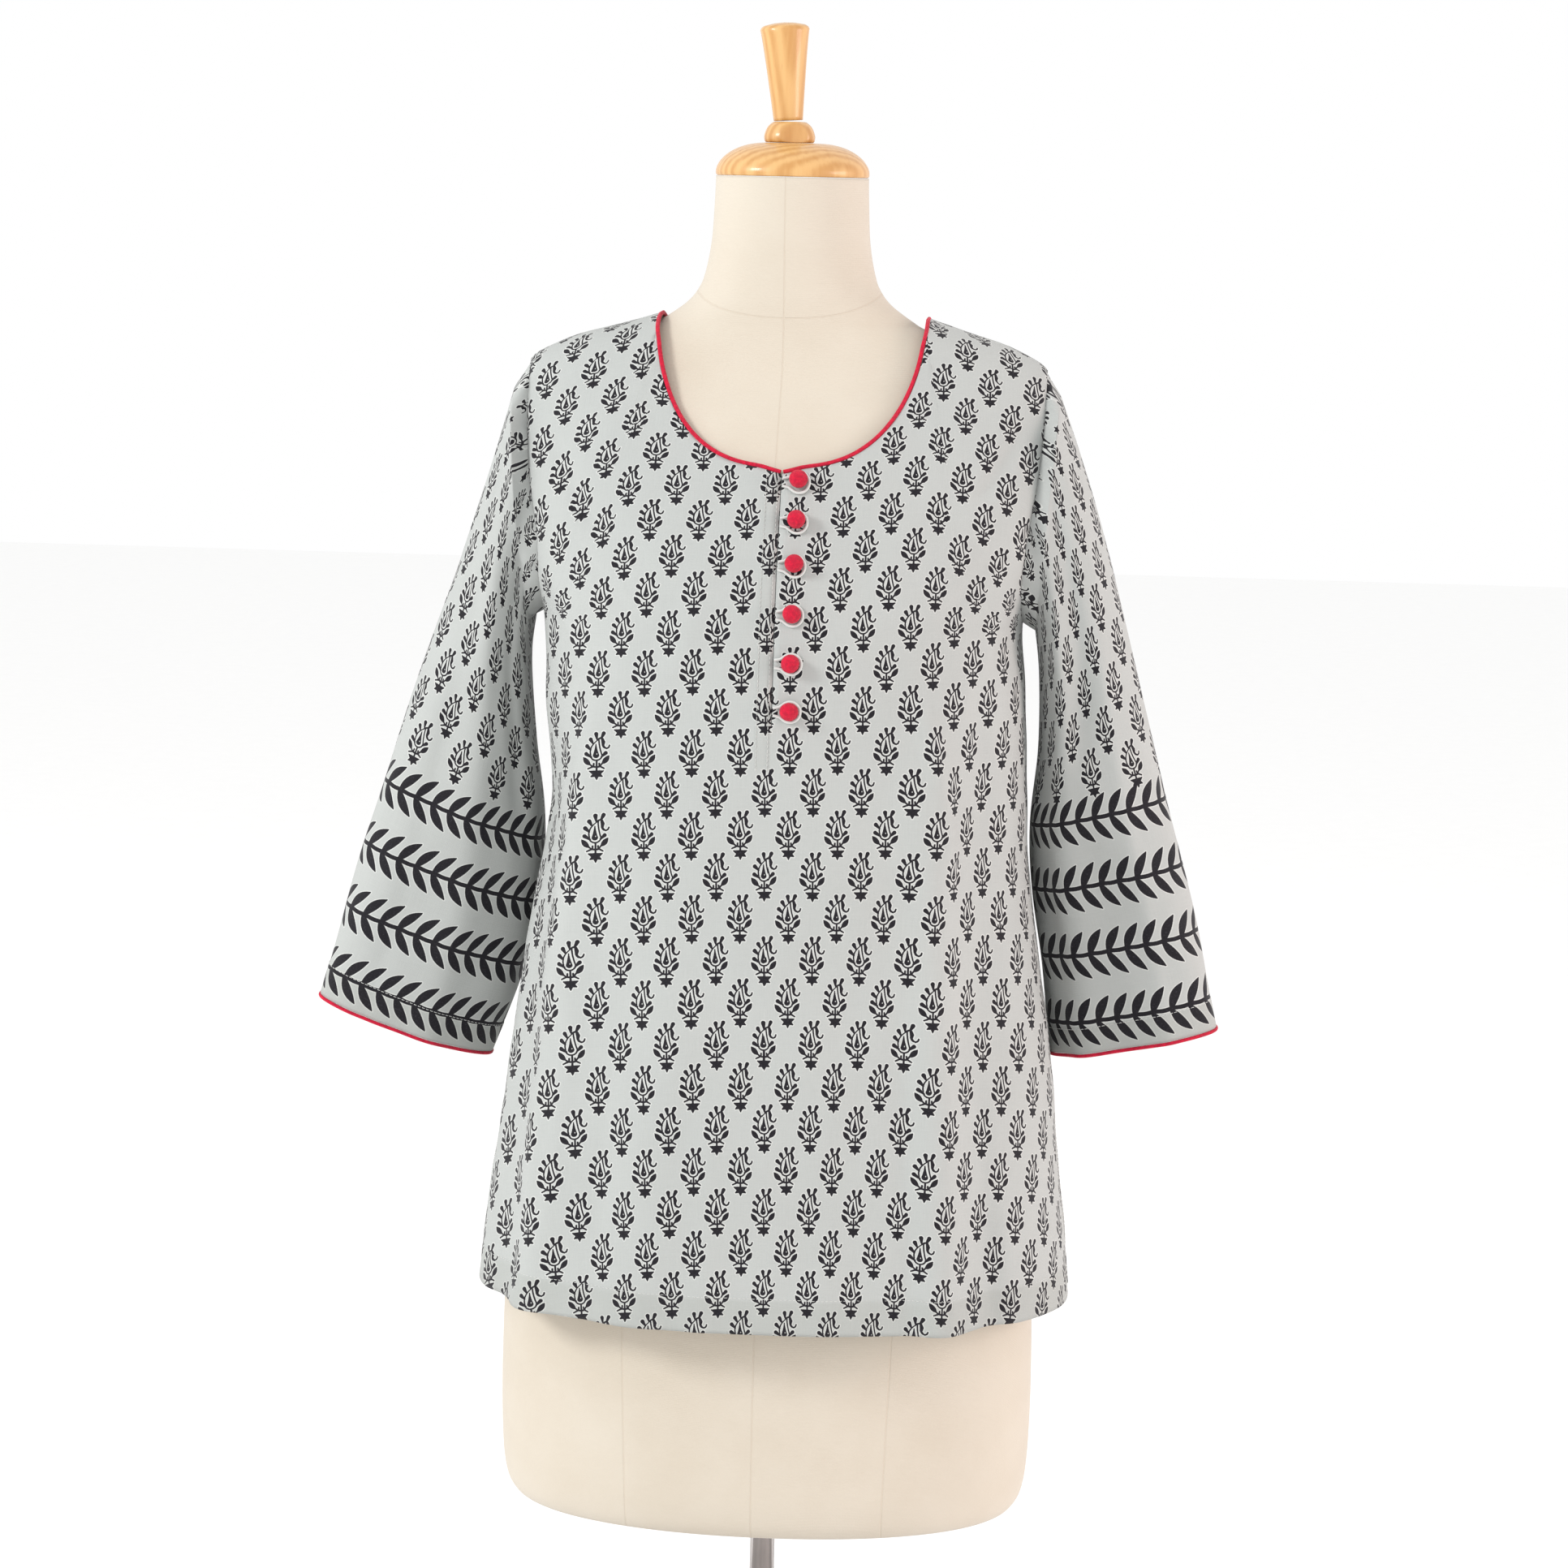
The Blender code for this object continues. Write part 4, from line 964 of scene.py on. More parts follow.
SLEEVE_FOLDS = {
    Side.LEFT: (
        (84, 108, 0.06, 1.20, 13, 0.0032), (118, 140, 0.04, 0.75, 12, -0.0040),
        (262, 240, 0.10, 1.20, 16, 0.0030), (60, 52, 0.05, 0.45, 6, -0.0012),
        (150, 166, 0.06, 0.50, 8, 0.0016), (70, 66, 0.45, 1.20, 8, -0.0012),
        (220, 206, 0.08, 0.60, 9, -0.0018),
    ),
    Side.RIGHT: (
        (80, 88, 0.06, 0.62, 12, -0.0040), (108, 122, 0.10, 1.20, 14, 0.0034),
        (250, 262, 0.12, 1.20, 16, 0.0030), (56, 50, 0.05, 0.50, 6, 0.0012),
        (140, 156, 0.06, 0.50, 8, -0.0016), (64, 70, 0.40, 1.20, 8, 0.0013),
        (214, 202, 0.08, 0.60, 9, -0.0018),
    ),
}
# How the hand-set blocks wander: powers across and up, then half columns and rows of blocks
PRINT_ROWS = {
    Face.FRONT: (
        (0, 0, 2.2313, 3.2879), (0, 1, 0.1127, 3.5757), (0, 2, -0.0168, 0.0601),
        (0, 3, -0.0033, 0.0132), (1, 0, 6.1494, -0.1547), (1, 1, -0.0235, -0.0251),
        (1, 2, 0.0355, -0.0060), (2, 0, 0.1408, 0.1170), (2, 1, -0.0215, -0.0348),
        (3, 0, -0.1090, -0.0017),
    ),
    Face.BACK: ((0, 0, 0.4000, 3.1000), (0, 1, 0.0700, 3.5700), (1, 0, 6.0300, 0.0600)),
}


@dataclass
class TunicBody:
    """The tunic's front and back, their button opening and their seams."""

    outside: Material
    inside: Material
    seamstress: Seamstress
    centre_x: float = 0.004
    hem_z: float = 0.365
    underarm_z: float = 0.840
    shoulder_tip_z: float = 1.0128
    neck_point_z: float = 1.046
    neck_half_width: float = 0.0925
    neck_front_z: float = 0.9472
    neck_back_z: float = 1.012
    neck_power: float = 2.6
    notch_depth: float = 0.0035
    notch_width: float = 0.010
    neck_part: float = 9.0 / 13.0
    neck_spread: float = 1.5
    opening_foot_z: float = 0.779
    opening_gap: float = 0.0005
    placket_foot_z: float = 0.750
    slit_top_z: float = 0.489
    slit_left: float = 0.006
    slit_right: float = 0.011
    slit_power: float = 1.3
    slit_start: float = 0.70
    turn_up: float = 0.0245
    print_unit: float = 0.1
    print_base: float = 0.35
    stitch_pull: float = 0.0004
    seam_sink: float = 0.0007
    waves: tuple[float, float] = (0.0008, 0.0004)
    underlap_foot_z: float = 0.760
    underlap_reach: tuple[float, float] = (-0.007, 0.019)
    underlap_wall: float = 0.0007
    strip_rise: float = 0.0005
    strip_width: float = 0.0115
    strip_seams: tuple[float, float] = (0.0098, 0.0022)
    fold_fade: float = 0.25
    ridge_gain: float = 1.5
    columns: int = 104
    rows: int = 214
    cut: tuple[float, float] = (0.60, 0.71)
    levels: Table = Table(
        ("z", "left", "right", "front", "back", "edge", "power"),
        (
            (0.365, 0.2050, 0.2125, 0.1500, 0.1420, 1.00, 2.35),
            (0.435, 0.1975, 0.2065, 0.1475, 0.1385, 1.00, 2.35),
            (0.506, 0.1880, 0.1985, 0.1450, 0.1345, 1.00, 2.35),
            (0.547, 0.1830, 0.1935, 0.1435, 0.1320, 1.00, 2.35),
            (0.607, 0.1750, 0.1850, 0.1415, 0.1280, 1.00, 2.35),
            (0.660, 0.1665, 0.1770, 0.1400, 0.1240, 1.00, 2.35),
            (0.718, 0.1600, 0.1735, 0.1385, 0.1190, 1.00, 2.35),
            (0.781, 0.1630, 0.1705, 0.1360, 0.1140, 1.00, 2.35),
            (0.840, 0.1665, 0.1675, 0.1320, 0.1100, 1.00, 2.30),
            (0.870, 0.1750, 0.1750, 0.1250, 0.1075, 0.945, 2.30),
            (0.903, 0.1820, 0.1830, 0.1115, 0.1040, 0.898, 2.30),
            (0.945, 0.1870, 0.1880, 0.0920, 0.0980, 0.903, 2.30),
            (0.974, 0.1880, 0.1890, 0.0745, 0.0900, 0.927, 2.25),
            (0.992, 0.1855, 0.1870, 0.0620, 0.0820, 0.956, 2.20),
            (1.0128, 0.1785, 0.1790, 0.0520, 0.0700, 1.00, 2.05),
            (1.0274, 0.1520, 0.1545, 0.0490, 0.0600, 1.00, 2.00),
            (1.0366, 0.1215, 0.1265, 0.0485, 0.0520, 1.00, 2.00),
            (1.046, 0.0885, 0.0965, 0.0475, 0.0460, 1.00, 2.00),
        ),
    )

    def half_width(self, z: Array, sign: Array) -> Array:
        """Return the body's half width from its own centre line on one side."""
        left = self.levels.read("left", z) + self.centre_x
        right = self.levels.read("right", z) - self.centre_x
        return np.where(np.asarray(sign) < 0.0, left, right)

    def shoulder_height(self, distance: Array, sign: Array) -> Array:
        """Return the height of the shoulder seam at a distance from the centre line."""
        heights = np.linspace(self.shoulder_tip_z, self.neck_point_z, 400)
        left = np.interp(-distance, -self.half_width(heights, -1.0), heights)
        right = np.interp(-distance, -self.half_width(heights, 1.0), heights)
        return np.where(np.asarray(sign) < 0.0, left, right)

    def top_edge(self, face: Face, part: Array) -> tuple[Array, Array]:
        """Find a panel's top edge.

        Args:
            face: The panel.
            part: Places across it, from -1 at the left shoulder tip to 1 at the right one.

        Returns:
            The distance from the centre line and the height of the edge there.
        """
        sign = np.where(part < 0.0, -1.0, 1.0)
        size = np.abs(part)
        tip = self.half_width(self.shoulder_tip_z, sign)
        share = np.clip((size - self.neck_part) / (1.0 - self.neck_part), 0.0, 1.0)
        over = self.neck_half_width + (tip - self.neck_half_width) * share
        inner = 1.0 - (1.0 - np.minimum(size / self.neck_part, 1.0)) ** self.neck_spread
        angle = 0.5 * math.pi * inner
        neck = self.neck_half_width * np.sin(angle) ** (2.0 / self.neck_power)
        distance = np.where(size >= self.neck_part, over, neck)
        corner = self.shoulder_height(self.neck_half_width, sign)
        lowest = self.neck_front_z if face is Face.FRONT else self.neck_back_z
        scoop = corner - (corner - lowest) * np.cos(angle)
        if face is Face.FRONT:
            scoop = scoop - self.notch_depth * np.exp(-((distance / self.notch_width) ** 2))
        return distance, np.where(size >= self.neck_part, self.shoulder_height(distance, sign), scoop)

    def relief(self, face: Face, x: Array, z: Array) -> Array:
        """Return how far the folds and creases push a panel outwards."""
        total = np.zeros(np.broadcast(x, z).shape)
        for fold in (Fold(*sizes) for sizes in FOLDS[face]):
            share = (fold.top_z - z) / (fold.top_z - fold.foot_z)
            middle = fold.top_x + (fold.foot_x - fold.top_x) * share
            fade = smooth_step(share / self.fold_fade)
            if fold.foot_z > self.hem_z:
                fade = fade * smooth_step((1.0 - share) / self.fold_fade)
            inside = (z <= fold.top_z) & (z >= fold.foot_z)
            ridge = np.exp(-(((x - middle) / fold.width) ** 2))
            total += np.where(inside, fold.depth * fade, 0.0) * ridge
        return np.where(total > 0.0, self.ridge_gain * total, total)

    def doubled(self, face: Face, x: Array, z: Array) -> Array:
        """Return where the cloth lies double: the turned-up hem and the placket."""
        double = smooth_step((self.hem_z + self.turn_up - z) / 0.0016)
        if face is Face.FRONT:
            strip = smooth_step((self.centre_x - x) / 0.0004)
            strip = strip * smooth_step((self.strip_width - self.centre_x + x) / 0.001)
            double = np.maximum(double, 0.4 * strip * smooth_step((z - self.placket_foot_z) / 0.001))
        return double

    def sewn(self, face: Face, part: Array, x: Array, z: Array) -> Array:
        """Return how far seams, turn-ups and the placket's edge raise or sink the cloth."""
        turned = TURNED_HEM_RISE * smooth_step((self.hem_z + self.turn_up - z) / 0.0016)
        pulled = -self.stitch_pull * np.exp(-(((z - self.hem_z - self.turn_up + 0.001) / 0.0018) ** 2))
        edge = -self.seam_sink * smooth_step((np.abs(part) - 0.985) / 0.015) * (z > self.slit_top_z)
        broad, fine = self.waves
        waves = broad * np.sin(x * 61.0 + 1.7) * np.sin(z * 43.0 + x * 19.0)
        waves = waves + fine * np.sin(x * 133.0 + z * 37.0) * np.sin(z * 101.0 - x * 29.0 + 0.6)
        total = turned + pulled + edge + waves
        if face is Face.FRONT:
            from_edge = self.centre_x - x
            strip = smooth_step(from_edge / 0.0006) * smooth_step((self.strip_width - from_edge) / 0.002)
            total = total + self.strip_rise * strip * smooth_step((z - self.placket_foot_z) / 0.002)
        return total

    def slit_share(self, z: Array, sign: Array) -> Array:
        """Return how far a side edge has drawn back where the slit is open."""
        opening = np.where(np.asarray(sign) < 0.0, self.slit_left, self.slit_right)
        share = np.clip((self.slit_top_z - z) / (self.slit_top_z - self.hem_z), 0.0, 1.0)
        return opening * share**self.slit_power

    def bulge(self, part: Array, z: Array) -> Array:
        """Return the plain cloth's depth at a part of its half width, as a part of its greatest."""
        power = self.levels.read("power", z)
        return np.maximum(0.0, 1.0 - part**power) ** (1.0 / power)

    def point(self, face: Face, part: Array, z: Array, lift: float = 0.0,
              plain: bool = False) -> Array:
        """Return outer points of a panel.

        Args:
            face: The panel.
            part: Places across it, from -1 to 1.
            z: Heights.
            lift: How far outside the cloth the points lie.
            plain: Whether folds and seams are left out.

        Returns:
            The points, with x, y and z along the last axis.
        """
        sign = np.where(part < 0.0, -1.0, 1.0)
        reach = self.half_width(z, sign)
        power = self.levels.read("power", z)
        edge_angle = np.arcsin(np.minimum(1.0, self.levels.read("edge", z)) ** (power / 2.0))
        distance = reach * np.sin(np.abs(part) * edge_angle) ** (2.0 / power)
        top_distance, top_z = self.top_edge(face, part)
        share = smooth_step((z - self.underarm_z) / (top_z - self.underarm_z))
        distance = np.minimum(reach, distance + (top_distance - distance) * share)
        facing = face.value
        depth = self.levels.read(face.name.lower(), z)
        y = facing * depth * self.bulge(distance / reach, z)
        x = self.centre_x + sign * distance
        push = np.full(np.shape(x), lift)
        if not plain:
            fade = smooth_step((1.0 - np.abs(part)) / 0.12)
            push = push + self.relief(face, x, z) * fade + self.sewn(face, part, x, z)
        across = sign * distance / reach**2
        along = y / depth**2
        length = np.hypot(across, along)
        x = x + push * across / length
        y = y + push * along / length
        slit = self.slit_share(z, sign)
        gap = 0.5 * SEAM_GAP + slit
        inner = (np.abs(part) - self.slit_start) / (1.0 - self.slit_start)
        drawn = np.where(slit > 0.0, smooth_step(inner), 0.0)
        y = y + facing * gap * np.where(np.abs(part) >= 1.0, 1.0, drawn)
        y = facing * np.maximum(facing * y, 0.5 * SEAM_GAP)
        return np.stack(np.broadcast_arrays(x, y, z), axis=-1)

    def heights(self, face: Face, parts: Array) -> Array:
        """Return evenly spaced heights along each column, by column and row."""
        top_z = self.top_edge(face, parts)[1]
        share = np.sin(0.5 * math.pi * np.linspace(0.0, 1.0, 500))
        levels = self.hem_z + (top_z[:, None] - self.hem_z) * share
        path = self.point(face, parts[:, None], levels, plain=True)
        steps = np.linalg.norm(np.diff(path, axis=1), axis=2)
        length = running(steps)
        wanted = np.linspace(0.0, 1.0, self.rows + 1)
        return np.array([np.interp(wanted * one[-1], one, level) for one, level in zip(length, levels)])

    def cloth_places(self, face: Face, parts: Array, z: Array) -> Array:
        """Find the places on the printed cloth, right way up as seen from outside.

        Args:
            face: The panel.
            parts: Places across it, from -1 to 1.
            z: Heights by column and row.

        Returns:
            The places by column and row, in metres, as the hand-set rows of blocks wander.
        """
        plain = self.point(face, parts[:, None], z, plain=True)
        sign = np.where(parts < 0.0, -1.0, 1.0)[:, None]
        reach = self.half_width(z, sign)
        power = self.levels.read("power", z)
        depth = self.levels.read(face.name.lower(), z)
        distance = np.abs(plain[..., 0] - self.centre_x)
        turn = np.arcsin(np.minimum(1.0, distance / reach) ** (power / 2.0))
        steps = np.linspace(0.0, 1.0, 28)[:, None, None] * turn
        x = reach * np.sin(steps) ** (2.0 / power)
        y = depth * np.cos(steps) ** (2.0 / power)
        around = np.hypot(np.diff(x, axis=0), np.diff(y, axis=0)).sum(axis=0)
        rise = np.hypot(np.diff(plain[..., 1], axis=1), np.diff(plain[..., 2], axis=1))
        across = -face.value * sign * around / self.print_unit
        up = (running(rise) - self.print_base) / self.print_unit
        columns, rows = np.zeros(up.shape), np.zeros(up.shape)
        for over, along, half_columns, whole_rows in PRINT_ROWS[face]:
            columns += half_columns * across**over * up**along
            rows += whole_rows * across**over * up**along
        block = Block()
        return np.stack([columns * 0.5 * block.column, rows * block.row], axis=-1) / MILLIMETRES

    def build_panel(self, face: Face) -> Piece:
        """Build the front or the back as a fine sheet with its wall."""
        half = np.linspace(0.0, 1.0, self.columns + 1)[1:]
        if face is Face.FRONT:
            parts = np.concatenate([-half[::-1], [-1e-6, 1e-6], half])
        else:
            parts = np.concatenate([-half[::-1], [0.0], half])
        z = self.heights(face, parts)
        points = self.point(face, parts[:, None], z)
        uv = self.cloth_places(face, parts, z)
        keep = None
        if face is Face.FRONT:
            points[self.columns, :, 0] -= 0.5 * self.opening_gap
            points[self.columns + 1, :, 0] += 0.5 * self.opening_gap
            middle_z = 0.5 * (z[:, 1:] + z[:, :-1])

            def keep(column: int, row: int) -> bool:
                """Leave the button opening out."""
                return column != self.columns or middle_z[column, row] <= self.opening_foot_z

        name = f"printed_{face.name.lower()}"
        double = self.doubled(face, points[..., 0], z)
        panel = quilt(name, points, uv, double, keep, turned=face is Face.BACK)
        add_wall(panel, self.outside, self.inside)
        settle(panel, f"tunic_{face.name.lower()}")
        return panel

    def sew_rows(self) -> None:
        """Sew the hem, the slits' edges and the placket."""
        parts = np.linspace(-0.992, 0.992, 500)
        seam_z = self.hem_z + self.turn_up
        for face in Face:
            self.seamstress.row(self.point(face, parts, np.full(500, seam_z), THREAD_LIFT))
            heights = np.linspace(seam_z, self.slit_top_z, 80)
            for part in (-0.965, 0.965):
                self.seamstress.row(self.point(face, np.full(80, part), heights, THREAD_LIFT))
        heights = np.linspace(self.placket_foot_z, self.neck_front_z - 0.006, 160)
        outer, inner = (self.centre_x - offset for offset in self.strip_seams)
        across = np.linspace(outer, inner, 8)
        for x, z in ((inner, heights), (outer, heights), (across, np.full(8, self.placket_foot_z))):
            self.seamstress.row(self.on_front(x, z, THREAD_LIFT))

    def on_front(self, x: float | Array, z: Array, lift: float) -> Array:
        """Return points over the front at given x and z, near the centre line."""
        x, z = np.broadcast_arrays(np.asarray(x, float), np.asarray(z, float))
        sign = np.where(x > self.centre_x, 1.0, -1.0)
        bulge = self.bulge(np.abs(x - self.centre_x) / self.half_width(z, sign), z)
        step = 0.0005
        y = -self.levels.read("front", z) * bulge
        below = -self.levels.read("front", z - step) * bulge
        slope = (y - below) / step
        length = np.sqrt(1.0 + slope**2)
        push = lift + self.relief(Face.FRONT, x, z) + self.sewn(Face.FRONT, np.zeros_like(x), x, z)
        return np.stack([x, y - push / length, z + push * slope / length], axis=-1)

    def build_underlap(self) -> Piece:
        """Build the strip of cloth behind the button opening."""
        top_z = self.neck_front_z - self.notch_depth - 0.0006
        rows = np.linspace(self.underlap_foot_z, top_z, 90)
        reach = np.linspace(*self.underlap_reach, 14)
        x, z = np.meshgrid(self.centre_x + reach, rows, indexing="ij")
        points = self.on_front(x, z, -WALL - 0.0006)
        uv = np.stack([x - self.centre_x + 0.011, z - self.hem_z + 0.012], axis=-1)
        strip = quilt("printed_underlap", points, uv, np.zeros(x.shape))
        add_wall(strip, self.outside, self.inside, self.underlap_wall)
        settle(strip, "placket_underlap")
        return strip


@dataclass
class Sleeve:
    """One flared sleeve with its turned hem."""

    side: Side
    body: TunicBody
    outside: Material
    inside: Material
    columns: int = 170
    rows: int = 200
    power: float = 2.2
    armhole_tuck: float = 0.0014
    armhole_sink: float = 0.0009
    head_row: int = 28
    head_span: int = 8
    lean: float = 0.117
    fold_fade: float = 0.2
    ridge_gain: float = 1.3
    hem_start: float = 0.961
    hem_seam: float = 0.963
    hem_blend: float = 0.004
    wave: float = 0.0009
    piping_radius: float = 0.0013
    piping_drop: float = 0.0015
    names: tuple[str, ...] = ("place", "out_x", "out_z", "out_y", "in_x", "in_z", "in_y", "depth")

    def __post_init__(self) -> None:
        """Read the armhole's edge from both panels once."""
        self.sections = SLEEVE_SECTIONS[self.side]
        rows = tuple((float(index), *row) for index, row in enumerate(self.sections))
        self.table = Table(self.names, rows)
        self.edges = {}
        for face in Face:
            parts = np.array([self.side.value])
            heights = self.body.heights(face, parts)
            self.edges[face] = self.body.point(face, parts[:, None], heights)[0]

    def armhole(self, angle: Array) -> Array:
        """Return the armhole's edge at an angle: 0 at the shoulder tip, 90 degrees at the front."""
        middle = 0.5 * (self.body.shoulder_tip_z + self.body.underarm_z)
        half = 0.5 * (self.body.shoulder_tip_z - self.body.underarm_z)
        z = middle + half * np.cos(angle)
        front = np.sin(angle) >= 0.0
        values = []
        for axis in (0, 1):
            both = [np.interp(z, self.edges[face][:, 2], self.edges[face][:, axis]) for face in Face]
            values.append(np.where(front, both[0], both[1]))
        flat = np.abs(np.sin(angle)) < 1e-6
        y = np.where(flat, 0.0, values[1])
        y = np.sign(y) * np.maximum(np.abs(y) - self.armhole_sink, 0.0)
        return np.stack([values[0] - self.side.value * self.armhole_tuck, y, z], axis=-1)

    def section(self, place: Array, angle: Array) -> Array:
        """Return points of the sections at a place from 0 to the last row's number."""
        size = {name: self.table.read(name, place) for name in self.names[1:]}
        swell = rounded(np.sin(angle), self.power)
        share = 0.5 * (1.0 - rounded(np.cos(angle), self.power))
        x = size["out_x"] + (size["in_x"] - size["out_x"]) * share
        y = size["out_y"] + (size["in_y"] - size["out_y"]) * share - size["depth"] * swell
        z = size["out_z"] + (size["in_z"] - size["out_z"]) * share
        return np.stack([self.side.value * x, y, z], axis=-1)

    def push(self, angle: Array, share: Array) -> Array:
        """Return how far the folds, creases and turn-up push the sleeve outwards."""
        degrees = np.degrees(angle)
        total = np.zeros(np.broadcast(angle, share).shape)
        for fold in (SleeveFold(*sizes) for sizes in SLEEVE_FOLDS[self.side]):
            part = np.clip((share - fold.start) / (fold.end - fold.start), 0.0, 1.0)
            middle = fold.angle + (fold.end_angle - fold.angle) * part
            apart = (degrees - middle + 180.0) % 360.0 - 180.0
            fade = smooth_step(part / self.fold_fade) * smooth_step((1.0 - part) / self.fold_fade)
            total = total + fold.depth * fade * np.exp(-((apart / fold.width) ** 2))
        waves = self.wave * np.sin(5.0 * angle + 9.0 * share) * np.sin(17.0 * share + 2.0 * angle)
        return np.where(total > 0.0, self.ridge_gain * total, total) + waves * smooth_step(share / 0.1)

    def point(self, share: Array, angle: Array, lift: float = 0.0) -> Array:
        """Return outer points of the sleeve.

        Args:
            share: Places from 0 at the armhole to 1 at the cuff.
            angle: Angles round it, 0 at its outer edge.
            lift: How far outside the cloth the points lie.

        Returns:
            The points.
        """
        share, angle = np.broadcast_arrays(share, angle)
        place = share * len(self.sections) - 1.0
        row = np.maximum(place, 0.0)
        point = self.section(row, angle)
        middle = 0.5 * (self.section(row, 0.0 * angle) + self.section(row, math.pi + 0.0 * angle))
        away = unit(point - middle)
        hem = TURNED_HEM_RISE * smooth_step((share - self.hem_start) / self.hem_blend)
        pushed = point + away * (self.push(angle, share) + lift + hem)[..., None]
        edge = self.armhole(angle) + away * lift
        blend = np.clip(place + 1.0, 0.0, 1.0)[..., None]
        return edge + (pushed - edge) * blend

    def continued(self, points: Array, around: Array,
                  up: Array) -> tuple[Array, Array]:
        """Carry the cloth's places from the head row straight on to the armhole.

        Args:
            points: The sleeve's points by column and row.
            around: Places round the sleeve.
            up: Places up the sleeve.

        Returns:
            The places round and up the sleeve, changed above the head row.
        """
        row = self.head_row
        along = unit(np.roll(points[:, row], -1, axis=0) - np.roll(points[:, row], 1, axis=0))
        rise = unit(points[:, row] - points[:, row + self.head_span])
        apart = points[:, :row] - points[:, row, None]
        first = np.einsum("crx,cx->cr", apart, along)
        second = np.einsum("crx,cx->cr", apart, rise)
        slant = np.einsum("cx,cx->c", along, rise)[:, None]
        scale = 1.0 - slant * slant
        head_around = around[:, row, None] + (first - slant * second) / scale
        head_up = up[:, row, None] + (second - slant * first) / scale
        return (np.concatenate([head_around, around[:, row:]], axis=1),
                np.concatenate([head_up, up[:, row:]], axis=1))

    def build(self) -> Piece:
        """Build the sleeve as a fine tube with its wall and its flat places."""
        angles = np.linspace(-math.pi, math.pi, self.columns, endpoint=False)
        shares = np.linspace(0.0, 1.0, self.rows + 1)
        points = self.point(shares[None, :], angles[:, None])
        ring = np.linalg.norm(points - np.roll(points, 1, axis=0), axis=2)
        around = np.cumsum(ring, axis=0)
        around -= around[self.columns // 2]
        down = np.linalg.norm(np.diff(points, axis=1), axis=2)[:, ::-1]
        around, up = self.continued(points, around, running(down)[:, ::-1])
        uv = np.stack([-self.side.value * (around - self.lean * up), up], axis=-1)
        name = f"printed_sleeve_{self.side.name.lower()}"
        double = smooth_step((shares - self.hem_start) / self.hem_blend) + 0.0 * around
        sleeve = quilt(name, points, uv, double, closed=True, turned=self.side is Side.LEFT)
        add_wall(sleeve, self.outside, self.inside)
        settle(sleeve, f"sleeve_{self.side.name.lower()}")
        return sleeve

    def sew_hem(self) -> None:
        """Sew the turned hem above the cuff's piping."""
        angles = np.linspace(0.0, math.tau, 300)
        self.body.seamstress.row(self.point(np.full(300, self.hem_seam), angles, THREAD_LIFT))

    def build_piping(self, silk: Material) -> Piece:
        """Build the red piping along the hem."""
        angles = np.linspace(0.0, math.tau, 96, endpoint=False)
        edge = self.point(np.full(96, 1.0), angles)
        above = self.point(np.full(96, 0.97), angles)
        down = unit(edge - above)
        inwards = edge.mean(axis=0) - edge
        inwards = unit(inwards - down * (inwards * down).sum(axis=-1, keepdims=True))
        path = edge + down * self.piping_drop + inwards * 0.5 * WALL
        name = f"cuff_cord_{self.side.name.lower()}"
        cord = tube(name, path, self.piping_radius, silk, closed=True, sides=12)
        return settle(cord, f"cuff_piping_{self.side.name.lower()}")


